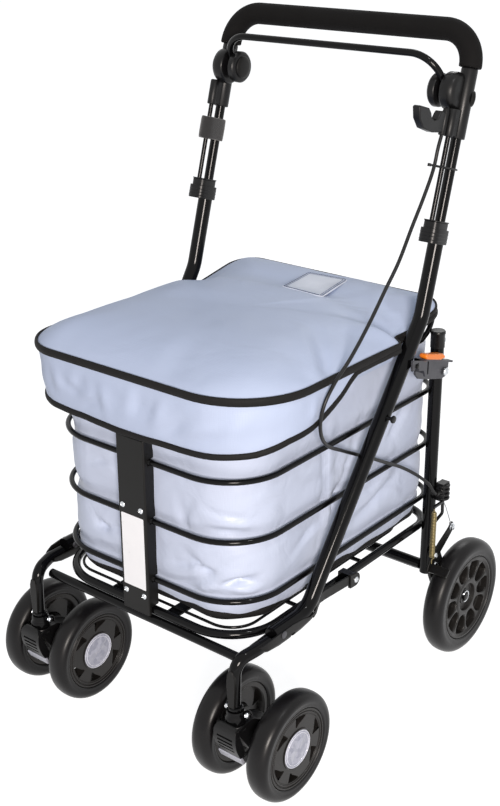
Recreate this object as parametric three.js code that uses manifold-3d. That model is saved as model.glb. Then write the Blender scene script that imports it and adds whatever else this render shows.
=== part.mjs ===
// Four-wheeled shopping rollator with a wire basket, a padded lid and a folding handle
// Millimetres, +Z up, the front faces -Y, the floor is z = 0
import * as THREE from 'three';
import { mergeVertices } from 'three/addons/utils/BufferGeometryUtils.js';
import Module from 'manifold-3d';

const wasm = await Module();
wasm.setup();

// Clearances and wall sizes shared by many pieces
const seat = 0.3;
const overrun = 2;
const slack = 0.8;

// Wheels
const frontWheel = { radius: 75, width: 32, spacing: 91, tread: 19, bossRadius: 26, windows: 6 };
const rearWheel = { radius: 90, width: 33, tread: 24, bossRadius: 22, windows: 10 };
const frontAxleY = -226;
const rearAxleY = 211;
const casterTrail = 52;
const axleRadius = 6;
const discThickness = 6;
const rimThickness = 5;
const edgeRound = 7;

// Basket rings and base: the base tube sets the widths and heights of all that stands on it
const base = { halfWidth: 169, height: 213, stripHalfSpacing: 50, stripWidth: 20, stripThickness: 3 };
const wireRadius = 3.75;
const baseTubeRadius = 6;
const ringStandOff = 2;
const basketHalfWidth = base.halfWidth + ringStandOff;
const basketFrontY = -254;
const basketRearY = 202;
const frontCorner = 80;
const rearCorner = 45;
const ringRises = { lower_ring: 47, middle_ring: 132, upper_ring: 215 };
const topRing = { sideRise: 297, rearRise: 24, riseStartY: 140, riseEndY: 185 };
const topRingHeight = base.height + topRing.sideRise;
const crossWire = { radius: 3, places: [-130, 20] };
const floorLoop = { radius: 2, inset: 19, frontY: -238, rearY: 150, corner: 40 };

// Front plate
const plate = { width: 48, depth: 18, wall: 2.5, drop: 5.8, skirtGap: 2, frontY: -265 };

// Bag
const bag = { inset: 8, frontY: -243, rearY: 192, topDrop: 3, wall: 3, bottomInset: 12 };
const bagHalfWidth = basketHalfWidth - bag.inset;
const bagCorner = 70;

// Lid
const lid = {
  overhang: 12, frontY: -264, rearY: 187, pipingRise: 30, rearRise: 18, riseStartY: 90,
  frontCorner: 58, rearCorner: 40, wall: 4, skirtDrop: 44, edgeHeight: 9, crown: 20,
};
const lidHalfWidth = basketHalfWidth + lid.overhang;
// Skirt: share of the lid's length from the front, share of the skirt's depth that is cut away
const skirtShares = [
  [0, 0], [0.16, 0.01], [0.295, 0.11], [0.341, 0.18], [0.388, 0.32], [0.435, 0.48], [0.472, 0.75],
  [0.54, 1], [1, 1],
];

// Handle: the lower tube runs from the side channel up the basket's side and leans back at the top
const lean = THREE.MathUtils.degToRad(16.3);
const lowerTube = { radius: 10.5, bore: 7.5, boreLength: 84, bend: 55, footBend: 38 };
const handleStandOff = 15.2;
const handleTop = { y: 118, rise: 146 };
const handleBend = { y: 91, rise: 53 };
const footBendY = -143;
const pivot = { y: -205, rise: 7, radius: 4, endPast: 11 };
const upperTube = { radius: 7, insert: 30 };
const rod = { radius: 3.25, offset: 21.5, insert: 28 };
const collar = { width: 28, length: 40, height: 30, lipHeight: 6, lipWidth: 24, lipLength: 34, top: 37 };
const sleeve = { drop: 58, rise: 7.5, radius: 11, rodRadius: 6.5, rodDrop: 22 };
const drum = { height: 198, forward: 12, radius: 25, innerRadius: 22, outer: 8, gap: 8, disc: 12, pin: 6 };
const grip = { radius: 15, rise: 46.5, bend: 45 };
const brakeBar = { radius: 4.75, eyeRadius: 13, reachY: -24, reachZ: 47, bend: 50, eyeThickness: 5 };
const bagHook = { width: 11, reach: 66.5, height: 28 };
// Outline of the bag hook: share of its reach from the housing, share of its height
const hookShares = [
  [0, 0.11], [0.353, 0], [0.714, 0.07], [0.91, 0.43], [1, 0.93], [0.955, 1], [0.64, 1], [0.534, 0.82],
  [0.49, 0.64], [0.37, 0.54], [0.25, 0.64], [0.2, 0.89], [0.158, 1.04], [0, 1.04],
];

// Side channel, legs and casters
const channel = {
  wall: 2.5, floorDrop: 15.5, height: 30, frontY: -244, rearY: -152, tailDrop: 11, tailRise: 13,
};
const eye = { y: -48, radius: 12 };
const leg = {
  radius: 8.5, standOff: 11, startY: -222, turnY: -246, bend: 36, bottom: 140, footRadius: 17,
  footHeight: 9,
};
const frontCross = { radius: 6.3, y: -258 };
const fork = { width: 42, headRadius: 21, headHeight: 20, axleReach: 58 };
const pedal = { width: 30, thickness: 7 };

// Rear end
const post = { radius: 9.5, y: 163.6, bottom: 140, rise: 12, capRadius: 10.2, capHeight: 22 };
const rearCross = { radius: 8, z: 149 };
const bracket = { thickness: 5, reachRise: 82, pinRadius: 3, wheelStandOff: 25.4 };
const brakePivot = { y: 158.4, rise: 84.5 };
const brakeEyelet = { y: 202, rise: 115 };
const brakeArm = { thickness: 3, bossRadius: 8 };
const shoeAngle = THREE.MathUtils.degToRad(133);
const shoe = { gap: 3, thickness: 8, length: 26 };
const anchor = { width: 13, depth: 18, height: 28, rise: 186, tabHeight: 4, tabWidth: 3.4 };
const spring = {
  inset: 0.88, wire: 0.65, radius: 3.3, coils: 12, topDrop: 24, lead: 15.7, sides: 5, steps: 8,
};
const cable = { radius: 2.4, sides: 8, bend: 26, steps: 44 };
const latch = { boltDrop: 45, thickness: 3, reach: 2, lift: 3, hookReach: 40 };
const lever = { width: 13, thickness: 10, frontY: 101, rearY: 162, fall: 19 };
// Brake cable's way down: shares of the handle's half width and of the start's y and height
const cableShares = [
  [0.975, 0.9451, 0.9804], [0.98, 0.862, 0.948], [1, 0.6545, 0.9107],
  [1.0175, 0.4085, 0.8694], [1.035, 0.157, 0.8247], [1.05, -0.1062, 0.7891],
  [1.06, -0.4101, 0.7443], [1.065, -0.6983, 0.7058], [1.06, -0.9357, 0.6775],
  [1.05, -1.0802, 0.6492], [1.0325, -1.1099, 0.6171], [1.005, -1.0209, 0.585],
  [0.97, -0.8334, 0.5573], [0.93, -0.5405, 0.5309], [0.905, -0.2398, 0.5051],
  [0.9025, 0.0391, 0.4821], [0.905, 0.3515, 0.4545], [0.915, 0.6639, 0.427],
  [0.95, 0.8982, 0.4007], [0.99, 1.0623, 0.3756], [1.005, 1.1404, 0.3569],
];

// Places worked out from the sizes above
const postX = base.halfWidth + baseTubeRadius + seat + post.radius;
const channelInnerX = base.halfWidth + baseTubeRadius + seat;
const halfTrackFront = base.halfWidth + leg.standOff;
const footX = channelInnerX + channel.wall + slack + lowerTube.radius;
const channelOuterX = footX + lowerTube.radius + slack + channel.wall;
const stemY = frontAxleY - casterTrail;
const loopHeight = base.height + base.stripThickness + floorLoop.radius / 2;
const bagBottom = loopHeight + floorLoop.radius + seat;
const bracketX = postX + post.radius + seat;
const armX = bracketX + bracket.thickness + seat;
const halfTrackRear = bracketX + bracket.wheelStandOff;
const handleHalfWidth = postX + handleStandOff;
const handleTopZ = topRingHeight + handleTop.rise;
const pivotZ = base.height + pivot.rise;
const postTop = topRingHeight + post.rise;
const brakePivotZ = rearWheel.radius + brakePivot.rise;
const brakeEyeletZ = rearWheel.radius + brakeEyelet.rise;
const anchorZ = rearWheel.radius + anchor.rise;
const shoeReach = rearWheel.radius + shoe.gap + shoe.thickness;
const springY = rearAxleY + Math.cos(shoeAngle) * shoeReach + spring.inset;
const bracketReach = rearWheel.radius + bracket.reachRise;
const sleeveBottom = drum.height - sleeve.drop;
const sleeveTop = drum.height + drum.radius + sleeve.rise;
const rodSleeveTop = drum.height - sleeve.rodDrop;
const gripTop = sleeveTop + grip.rise;
const rodY = -rod.offset;
const sides = [['right', 1], ['left', -1]];

const material = (color, roughness, metalness) =>
  new THREE.MeshStandardMaterial({ color, roughness, metalness });
const finish = {
  gloss: material('#0c0c0d', 0.18, 0.2),
  satin: material('#2b2a29', 0.5, 0.3),
  plastic: material('#1a1a1b', 0.45, 0),
  rubber: material('#232324', 0.6, 0),
  foam: material('#1b1a1a', 0.9, 0),
  fabric: material('#b7c6e6', 0.7, 0),
  steel: material('#c9ccd0', 0.25, 1),
  hook: material('#4a4c50', 0.45, 0.8),
  brass: material('#a08a55', 0.4, 0.9),
  orange: material('#f07814', 0.4, 0),
  cable: material('#1d1d1e', 0.5, 0),
};

const group = new THREE.Group();

const vec = (x, y, z) => new THREE.Vector3(x, y, z);

// Turns a three.js geometry into a solid for cuts and joins
function toSolid(geometry) {
  const bare = geometry.clone();
  for (const name of ['normal', 'uv']) bare.deleteAttribute(name);
  const merged = mergeVertices(bare, 1e-3);
  const count = merged.index.count;
  const vertProperties = new Float32Array(merged.attributes.position.array);
  const triVerts = new Uint32Array(count);
  const flip = signedVolume(merged) < 0;
  for (let i = 0; i < count; i += 3) {
    triVerts[i] = merged.index.getX(i);
    triVerts[i + 1] = merged.index.getX(flip ? i + 2 : i + 1);
    triVerts[i + 2] = merged.index.getX(flip ? i + 1 : i + 2);
  }
  return new wasm.Manifold(new wasm.Mesh({ numProp: 3, vertProperties, triVerts }));
}

function signedVolume(geometry) {
  const place = geometry.attributes.position;
  const at = (i) => vec().fromBufferAttribute(place, geometry.index.getX(i));
  let total = 0;
  for (let i = 0; i < geometry.index.count; i += 3) {
    total += at(i).dot(at(i + 1).cross(at(i + 2))) / 6;
  }
  return total;
}

function toGeometry(solid) {
  const mesh = solid.getMesh();
  const geometry = new THREE.BufferGeometry();
  const places = new Float32Array(mesh.numVert * 3);
  for (let i = 0; i < mesh.numVert; i += 1) {
    for (let k = 0; k < 3; k += 1) places[3 * i + k] = mesh.vertProperties[mesh.numProp * i + k];
  }
  geometry.setAttribute('position', new THREE.BufferAttribute(places, 3));
  geometry.setIndex(new THREE.BufferAttribute(new Uint32Array(mesh.triVerts), 1));
  geometry.computeVertexNormals();
  return geometry;
}

// Joins the first list of geometries and cuts the second list from them
function build(added, cut = []) {
  let solid = toSolid(added[0]);
  for (const geometry of added.slice(1)) solid = solid.add(toSolid(geometry));
  for (const geometry of cut) solid = solid.subtract(toSolid(geometry));
  return toGeometry(solid);
}

function mirrored(geometry, side) {
  return side > 0 ? geometry : toGeometry(toSolid(geometry).mirror([1, 0, 0]));
}

function place(name, geometry, look, parent = group) {
  const mesh = new THREE.Mesh(geometry, look);
  mesh.name = name;
  parent.add(mesh);
  return mesh;
}

// A path of straight runs with rounded corners; a corner is [point, radius]
class RoundedPath extends THREE.Curve {
  constructor(corners, cornerSteps = 4) {
    super();
    this.points = [];
    corners.forEach(([corner, radius], i) => {
      if (!radius) {
        this.points.push(corner);
        return;
      }
      const before = corners[i - 1][0].clone().sub(corner).normalize();
      const after = corners[i + 1][0].clone().sub(corner).normalize();
      const half = before.angleTo(after) / 2;
      const inset = radius / Math.tan(half);
      const middle = before.clone().add(after).normalize();
      const centre = corner.clone().addScaledVector(middle, radius / Math.sin(half));
      const from = corner.clone().addScaledVector(before, inset).sub(centre);
      const to = corner.clone().addScaledVector(after, inset).sub(centre);
      const axis = from.clone().cross(to).normalize();
      const sweep = from.angleTo(to);
      for (let k = 0; k <= cornerSteps; k += 1) {
        const turned = from.clone().applyAxisAngle(axis, (sweep * k) / cornerSteps);
        this.points.push(turned.add(centre));
      }
    });
  }

  getSpacedPoints() {
    return this.points;
  }

  getTangentAt(share, target = vec()) {
    const last = this.points.length - 1;
    const i = Math.round(share * last);
    const back = this.points[Math.max(i - 1, 0)];
    const here = this.points[i];
    const ahead = this.points[Math.min(i + 1, last)];
    const incoming = here.clone().sub(back).normalize();
    const outgoing = ahead.clone().sub(here).normalize();
    return target.copy(incoming).add(outgoing).normalize();
  }
}

function circlePoints(radius, count) {
  const turn = (i) => (2 * Math.PI * (i + 0.5)) / count;
  return Array.from({ length: count }, (_, i) =>
    new THREE.Vector2(radius * Math.cos(turn(i)), radius * Math.sin(turn(i))));
}

// A round bar or, with a bore, a tube along a path
function tube(path, radius, count = 12, bore = 0) {
  const shape = new THREE.Shape(circlePoints(radius, count));
  if (bore) shape.holes.push(new THREE.Path(circlePoints(bore, count)));
  const steps = path.points.length - 1;
  return new THREE.ExtrudeGeometry(shape, { steps, extrudePath: path, bevelEnabled: false });
}

// A cylinder from one point to another
function rodBetween(from, to, radius, count = 16) {
  return tube(new RoundedPath([[from], [to]]), radius, count);
}

function box(x0, x1, y0, y1, z0, z1) {
  const geometry = new THREE.BoxGeometry(Math.abs(x1 - x0), Math.abs(y1 - y0), Math.abs(z1 - z0));
  return geometry.translate((x0 + x1) / 2, (y0 + y1) / 2, (z0 + z1) / 2);
}

// A flat piece cut to an outline in the YZ plane, from x0 to x1
function sidePlate(outline, x0, x1) {
  const shape = new THREE.Shape(outline.map(([y, z]) => new THREE.Vector2(y, z)));
  const geometry = new THREE.ExtrudeGeometry(shape, { depth: x1 - x0, bevelEnabled: false });
  const turn = new THREE.Matrix4().makeBasis(vec(0, 1, 0), vec(0, 0, 1), vec(1, 0, 0));
  return geometry.applyMatrix4(turn).translate(x0, 0, 0);
}

// A disc about an axis along X
function disc(x0, x1, y, z, radius, count = 24) {
  return rodBetween(vec(x0, y, z), vec(x1, y, z), radius, count);
}

// A turned piece about an axis along X, from a closed profile of [x, radius]
function turnedX(profile, count) {
  const points = [...profile, profile[0]].map(([x, radius]) => new THREE.Vector2(radius, x));
  return new THREE.LatheGeometry(points, count).rotateZ(-Math.PI / 2);
}

// A closed surface lofted through rings of equal count, with a point at each end
function loft(rings) {
  const count = rings[0].length;
  const places = [];
  const index = [];
  const middle = (ring) => ring.reduce((sum, p) => sum.add(p), vec(0, 0, 0)).divideScalar(count);
  for (const ring of rings) for (const p of ring) places.push(p.x, p.y, p.z);
  const first = rings.length * count;
  const start = middle(rings[0]);
  const finishPoint = middle(rings[rings.length - 1]);
  places.push(start.x, start.y, start.z, finishPoint.x, finishPoint.y, finishPoint.z);
  for (let i = 0; i < count; i += 1) {
    const next = (i + 1) % count;
    index.push(first, next, i);
    for (let r = 0; r < rings.length - 1; r += 1) {
      const a = r * count;
      const b = a + count;
      index.push(a + i, a + next, b + next, a + i, b + next, b + i);
    }
    const last = (rings.length - 1) * count;
    index.push(first + 1, last + i, last + next);
  }
  const geometry = new THREE.BufferGeometry();
  geometry.setAttribute('position', new THREE.Float32BufferAttribute(places, 3));
  geometry.setIndex(index);
  return toGeometry(toSolid(geometry));
}

// A rounded outline in plan, starting at the middle of the front; z is a function of the place
function planOutline(halfWidth, frontY, rearY, front, rear, height, cornerSteps = 5, sideSteps = 5) {
  const ring = [];
  const line = (x0, y0, x1, y1, steps) => {
    for (let k = 1; k < steps; k += 1) {
      ring.push([x0 + ((x1 - x0) * k) / steps, y0 + ((y1 - y0) * k) / steps]);
    }
  };
  const arc = (x, y, radius, from) => {
    for (let k = 0; k <= cornerSteps; k += 1) {
      const turn = from + (k / cornerSteps) * (Math.PI / 2);
      ring.push([x + radius * Math.cos(turn), y + radius * Math.sin(turn)]);
    }
  };
  line(-halfWidth + front, frontY, halfWidth - front, frontY, sideSteps);
  arc(halfWidth - front, frontY + front, front, -Math.PI / 2);
  line(halfWidth, frontY + front, halfWidth, rearY - rear, sideSteps + 2);
  arc(halfWidth - rear, rearY - rear, rear, 0);
  line(halfWidth - rear, rearY, -halfWidth + rear, rearY, sideSteps);
  arc(-halfWidth + rear, rearY - rear, rear, Math.PI / 2);
  line(-halfWidth, rearY - rear, -halfWidth, frontY + front, sideSteps + 2);
  arc(-halfWidth + front, frontY + front, front, Math.PI);
  return ring.map(([x, y]) => vec(x, y, height(x, y)));
}

// A closed tube ring, joined from its right and left halves
function closedRing(halfWidth, frontY, rearY, front, rear, radius, count, height, extra = [], steps = 4) {
  const half = (side) => {
    const at = (x, y) => vec(side * x, y, height(y));
    const corners = [
      [at(-overrun, frontY)], [at(halfWidth, frontY), front], ...extra.map((y) => [at(halfWidth, y)]),
      [at(halfWidth, rearY), rear], [at(-overrun, rearY)],
    ];
    const path = new RoundedPath(corners, steps);
    for (const point of path.points) point.z = height(point.y);
    return tube(path, radius, count);
  };
  return [half(1), half(-1)];
}

// Basket wires
function makeRings() {
  for (const [name, rise] of Object.entries(ringRises)) {
    const halves = closedRing(basketHalfWidth, basketFrontY, basketRearY, frontCorner, rearCorner,
      wireRadius, 6, () => base.height + rise);
    place(name, build(halves), finish.gloss);
  }
  const halves = closedRing(basketHalfWidth, basketFrontY, basketRearY, frontCorner, rearCorner,
    wireRadius, 6, topRingAt, [topRing.riseStartY, (topRing.riseStartY + basketRearY - rearCorner) / 2]);
  place('top_ring', build(halves), finish.gloss);
}

// Height of the top ring, which climbs over the rear posts
function topRingAt(y) {
  const share = THREE.MathUtils.smoothstep(y, topRing.riseStartY, topRing.riseEndY);
  return THREE.MathUtils.lerp(topRingHeight, topRingHeight + topRing.rearRise, share);
}

// Base tube with its floor strips, cross wires, floor loop and the lugs for the side channels
function makeBase() {
  const level = () => base.height;
  const pieces = closedRing(base.halfWidth, basketFrontY, basketRearY, frontCorner - baseTubeRadius,
    rearCorner, baseTubeRadius, 8, level);
  const stripTop = base.height + base.stripThickness;
  for (const side of [1, -1]) {
    const middle = side * base.stripHalfSpacing;
    pieces.push(box(middle - base.stripWidth / 2, middle + base.stripWidth / 2,
      basketFrontY, basketRearY, base.height, stripTop));
    const outer = channelOuterX - channel.wall - seat;
    pieces.push(box(side * base.halfWidth, side * outer, eye.y - eye.radius / 2,
      eye.y + eye.radius / 2, base.height, base.height + eye.radius));
  }
  for (const y of crossWire.places) {
    pieces.push(rodBetween(vec(-base.halfWidth, y, base.height), vec(base.halfWidth, y, base.height),
      crossWire.radius, 6));
  }
  const loopHalfWidth = base.halfWidth - floorLoop.inset;
  pieces.push(...closedRing(loopHalfWidth, floorLoop.frontY, floorLoop.rearY, floorLoop.corner,
    floorLoop.corner, floorLoop.radius, 5, () => loopHeight, [], 2));
  place('base_frame', build(pieces), finish.gloss);
}

// Front plate: a channel open to the rear, notched where the rings pass
function makeFrontPlate() {
  const half = plate.width / 2;
  const back = plate.frontY + plate.depth;
  const bottom = base.height - plate.drop;
  const top = topRingHeight - lid.skirtDrop - plate.skirtGap;
  const outer = box(-half, half, plate.frontY, back, bottom, top);
  const inner = box(-half + plate.wall, half - plate.wall, plate.frontY + plate.wall, back + overrun,
    bottom - overrun, top + overrun);
  const notch = (height, radius) => box(-half - overrun, half + overrun, basketFrontY - radius - seat,
    back + overrun, height - radius - seat, height + radius + seat);
  const cuts = [inner, ...Object.values(ringRises).map((rise) => notch(base.height + rise, wireRadius))];
  cuts.push(box(-half - overrun, half + overrun, basketFrontY - baseTubeRadius - seat, back + overrun,
    bottom - overrun, base.height + baseTubeRadius + seat));
  place('front_plate', build([outer], cuts), finish.satin);
}

// Bag: an open-topped fabric shell that stands on the base inside the rings
function makeBag() {
  const ring = (inset, z) => planOutline(bagHalfWidth - inset, bag.frontY + inset, bag.rearY - inset,
    bagCorner - inset, rearCorner - inset, () => z, 4, 3);
  const inner = bag.wall;
  const rings = [
    ring(bag.bottomInset, bagBottom),
    ring(bag.bottomInset / 4, bagBottom + bag.bottomInset / 4),
    ring(0, bagBottom + bag.bottomInset),
    ring(0, topRingHeight - bag.topDrop),
    ring(inner, topRingHeight - bag.topDrop),
    ring(inner, bagBottom + bag.bottomInset),
    ring(inner + bag.bottomInset, bagBottom + bag.wall),
  ];
  place('bag', loft(rings), finish.fabric);
}

// Height of the lid's piping at a place along the lid
function pipingAt(y) {
  const share = THREE.MathUtils.clamp((y - lid.riseStartY) / (lid.rearY - lid.riseStartY), 0, 1);
  return topRingHeight + lid.pipingRise + lid.rearRise * share;
}

// Lower edge of the lid: a deep skirt at the front that tapers away along the sides
function skirtAt(y) {
  const place = THREE.MathUtils.clamp((y - lid.frontY) / (lid.rearY - lid.frontY), 0, 1);
  const i = Math.max(skirtShares.findIndex(([share]) => share >= place), 1);
  const [fromShare, fromCut] = skirtShares[i - 1];
  const [toShare, toCut] = skirtShares[i];
  const cut = THREE.MathUtils.lerp(fromCut, toCut, (place - fromShare) / (toShare - fromShare));
  return THREE.MathUtils.lerp(topRingHeight - lid.skirtDrop, pipingAt(y) - lid.edgeHeight, cut);
}

function makeLid() {
  const reach = lid.rearY - lid.frontY;
  const crownAt = (x, y) => {
    const across = 1 - (x / lidHalfWidth) ** 2;
    const along = Math.sin(Math.PI * THREE.MathUtils.clamp((y - lid.frontY) / reach, 0, 1)) ** 0.6;
    return pipingAt(y) + across * along * lid.crown;
  };
  const ring = (inset, height) => planOutline(lidHalfWidth - inset, lid.frontY + inset,
    lid.rearY - inset, Math.max(lid.frontCorner - inset, lid.wall),
    Math.max(lid.rearCorner - inset, lid.wall),
    height, 4, 4);
  const ceiling = (x, y) => topRingAt(y + post.capRadius * 1.4) + wireRadius + seat;
  const crownInsets = [lidHalfWidth * 0.72, lidHalfWidth * 0.45, lidHalfWidth * 0.2, lid.wall];
  const rings = [
    ring(lidHalfWidth * 0.72, ceiling),
    ring(lid.wall, ceiling),
    ring(lid.wall, (x, y) => skirtAt(y)),
    ring(0, (x, y) => skirtAt(y)),
    ring(0, (x, y) => pipingAt(y)),
    ...crownInsets.reverse().map((inset) => ring(inset, crownAt)),
  ];
  place('lid', loft(rings), finish.fabric);
}

// Side channel with its long tail and eye; it carries the leg and the foot of the handle tube
function makeSideChannel(word, side) {
  const bottom = pivotZ - channel.floorDrop - channel.wall;
  const top = bottom + channel.height;
  const outer = box(channelInnerX, channelOuterX, channel.frontY, channel.rearY, bottom, top);
  const inner = box(channelInnerX + channel.wall, channelOuterX - channel.wall,
    channel.frontY - overrun, channel.rearY + overrun, bottom + channel.wall, top + overrun);
  const tail = box(channelOuterX - channel.wall, channelOuterX, channel.rearY - overrun, eye.y,
    pivotZ - channel.tailDrop, pivotZ + channel.tailRise);
  const eyeZ = base.height + eye.radius / 2;
  const round = disc(channelOuterX - channel.wall, channelOuterX, eye.y, eyeZ, eye.radius, 20);
  const hole = disc(channelInnerX - overrun, channelOuterX + overrun, pivot.y, pivotZ,
    pivot.radius + seat, 16);
  const solid = build([build([outer], [inner]), tail, round], [hole]);
  place(`side_channel_${word}`, mirrored(solid, side), finish.satin);
  const headX = channelOuterX + seat;
  const bolt = build([
    disc(channelInnerX + seat, headX + pivot.radius / 2, pivot.y, pivotZ, pivot.radius, 16),
    disc(headX, headX + pivot.radius, pivot.y, pivotZ, pivot.radius * 1.7, 6),
  ]);
  place(`pivot_bolt_${word}`, mirrored(bolt, side), finish.steel);
}

function makeLeg(word, side) {
  const z = pivotZ - channel.floorDrop + seat + leg.radius;
  const path = new RoundedPath([
    [vec(footX - seat, leg.startY, z)],
    [vec(footX - seat * 4, leg.turnY, z), leg.bend],
    [vec(halfTrackFront, stemY, z - leg.radius / 2), leg.bend / 2],
    [vec(halfTrackFront, stemY, leg.bottom)],
  ], 4);
  const footTop = leg.bottom + leg.footHeight;
  const foot = rodBetween(vec(halfTrackFront, stemY, leg.bottom), vec(halfTrackFront, stemY, footTop),
    leg.footRadius, 14);
  place(`front_leg_${word}`, mirrored(build([tube(path, leg.radius, 10), foot]), side), finish.gloss);
}

function makeFrontCross() {
  const z = base.height - baseTubeRadius - seat - frontCross.radius;
  const reach = halfTrackFront - leg.radius - seat;
  const bar = rodBetween(vec(-reach, frontCross.y, z), vec(reach, frontCross.y, z), frontCross.radius, 12);
  place('front_cross_tube', build([bar]), finish.gloss);
}

// Twin-wheel caster, built about its stem and then placed
function makeCaster(word, side) {
  const x = side * halfTrackFront;
  const headTop = leg.bottom - seat;
  const headBottom = headTop - fork.headHeight;
  const axle = vec(0, frontAxleY, frontWheel.radius);
  const half = fork.width / 2;
  const head = rodBetween(vec(0, stemY, headBottom), vec(0, stemY, headTop), fork.headRadius, 20);
  const outline = [
    [stemY - fork.headRadius * 0.8, headBottom + overrun],
    [stemY - fork.headRadius * 0.4, headBottom - fork.headHeight],
    [axle.y - fork.headRadius * 0.9, axle.z - fork.headRadius * 0.8],
    [axle.y + fork.headRadius * 0.5, axle.z - fork.headRadius * 0.7],
    [axle.y + fork.headRadius * 0.9, axle.z + fork.headRadius * 0.3],
    [axle.y - fork.headRadius * 0.2, axle.z + fork.headRadius * 1.4],
    [stemY + fork.headRadius * 0.9, headBottom + overrun],
  ];
  const body = sidePlate(outline, -half, half);
  const pin = disc(-fork.axleReach, fork.axleReach, axle.y, axle.z, axleRadius, 16);
  place(`caster_fork_${word}`, build([head, body, pin]).translate(x, 0, 0), finish.plastic);

  const pedalTop = [stemY - fork.headRadius * 0.62, headBottom - fork.headHeight * 0.2];
  const pedalLow = [stemY - fork.headRadius * 0.1, headBottom - fork.headHeight * 2.2];
  const pedalOutline = [
    [pedalTop[0] - pedal.thickness, pedalTop[1]],
    [pedalTop[0] - pedal.thickness * 1.2, pedalTop[1] - fork.headHeight * 0.9],
    [pedalLow[0] - pedal.thickness * 1.2, pedalLow[1]],
    [pedalLow[0] - overrun, pedalLow[1] + overrun],
    [pedalTop[0] - overrun, pedalTop[1] - fork.headHeight * 0.9],
    [pedalTop[0] - overrun, pedalTop[1]],
  ];
  const slab = sidePlate(pedalOutline, -pedal.width / 2, pedal.width / 2);
  place(`caster_pedal_${word}`, build([slab]).translate(x, 0, 0), finish.plastic);

  for (const [where, sign] of [['outer', side], ['inner', -side]]) {
    const middle = x + (sign * frontWheel.spacing) / 2;
    const wheel = makeWheel(frontWheel, sign, fork.axleReach - frontWheel.spacing / 2, 20);
    for (const [piece, geometry, look] of wheel) {
      const moved = geometry.translate(middle, frontAxleY, frontWheel.radius);
      place(`front_${piece}_${word}_${where}`, moved, look);
    }
  }
}

// Tyre and hub about an axis along X; face +1 looks towards +X
function makeWheel(size, face, axleReach, count) {
  const half = size.width / 2;
  const rim = size.radius - size.tread;
  const bulge = size.radius - edgeRound * 0.35;
  const tyre = turnedX([
    [-half * 0.85, rim], [-half, size.radius - edgeRound * 1.3], [-half * 0.7, bulge],
    [-half * 0.3, size.radius], [half * 0.3, size.radius], [half * 0.7, bulge],
    [half, size.radius - edgeRound * 1.3], [half * 0.85, rim],
  ], count);
  const shell = rim - seat;
  const rimRing = turnedX([
    [-half * 0.8, shell - rimThickness], [-half * 0.8, shell], [half * 0.8, shell],
    [half * 0.8, shell - rimThickness],
  ], count);
  const web = new THREE.Shape(circlePoints(shell - overrun, count));
  const inner = size.bossRadius + edgeRound / 2;
  const outer = shell - rimThickness - edgeRound / 2;
  const step = (2 * Math.PI) / size.windows;
  const widthShare = 0.28;
  for (let k = 0; k < size.windows; k += 1) {
    const at = (radius, share) => new THREE.Vector2(
      radius * Math.cos(step * (k + share)), radius * Math.sin(step * (k + share)));
    web.holes.push(new THREE.Path([
      at(inner, -widthShare / 2), at(outer, -widthShare), at(outer, widthShare), at(inner, widthShare / 2),
    ]));
  }
  const discPlate = new THREE.ExtrudeGeometry(web, { depth: discThickness, bevelEnabled: false })
    .translate(0, 0, -discThickness / 2).rotateY(Math.PI / 2).translate(face * half * 0.3, 0, 0);
  const capStart = axleReach + seat;
  const boss = disc(-face * half * 0.8, face * half * 0.85, 0, 0, size.bossRadius, 14);
  const bore = disc(-face * half * 2, face * capStart, 0, 0, axleRadius + seat, 12);
  const hub = build([toGeometry(toSolid(rimRing)), discPlate, boss], [bore]);
  return [['tyre', toGeometry(toSolid(tyre)), finish.rubber], ['hub', hub, finish.plastic]];
}

function makeRearWheel(word, side) {
  const wheel = makeWheel(rearWheel, side, rearWheel.width * 0.3, 24);
  for (const [piece, geometry, look] of wheel) {
    const moved = geometry.translate(side * halfTrackRear, rearAxleY, rearWheel.radius);
    place(`rear_${piece}_${word}`, moved, look);
  }
}

function makeRearFrame() {
  const reach = postX - post.radius - seat;
  const bar = rodBetween(vec(-reach, post.y, rearCross.z), vec(reach, post.y, rearCross.z),
    rearCross.radius, 12);
  place('rear_cross_tube', build([bar]), finish.gloss);
  for (const [word, side] of sides) {
    const stick = rodBetween(vec(postX, post.y, post.bottom), vec(postX, post.y, postTop), post.radius, 16);
    const cap = rodBetween(vec(postX, post.y, postTop - post.capHeight),
      vec(postX, post.y, postTop), post.capRadius, 16);
    place(`rear_post_${word}`, mirrored(build([stick, cap]), side), finish.gloss);
    makeAxleBracket(word, side);
  }
}

// Plate from the foot of the post back to the wheel's axle, with the brake arm's pin
function makeAxleBracket(word, side) {
  const outline = [
    [post.y - post.radius, post.bottom], [rearAxleY - post.radius, rearWheel.radius - post.radius * 1.3],
    [rearAxleY + post.radius, rearWheel.radius - post.radius * 1.3],
    [rearAxleY + post.radius * 1.4, rearWheel.radius + post.radius],
    [post.y + post.radius, bracketReach + post.radius],
    [brakePivot.y - post.radius, bracketReach + post.radius],
  ];
  const slab = sidePlate(outline, bracketX, bracketX + bracket.thickness);
  const axleEnd = halfTrackRear + rearWheel.width * 0.3;
  const axle = disc(bracketX + overrun, axleEnd, rearAxleY, rearWheel.radius, axleRadius, 16);
  const pin = disc(bracketX + overrun, armX + brakeArm.thickness, brakePivot.y, brakePivotZ,
    bracket.pinRadius, 12);
  place(`axle_bracket_${word}`, mirrored(build([slab, axle, pin]), side), finish.satin);
}

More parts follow.
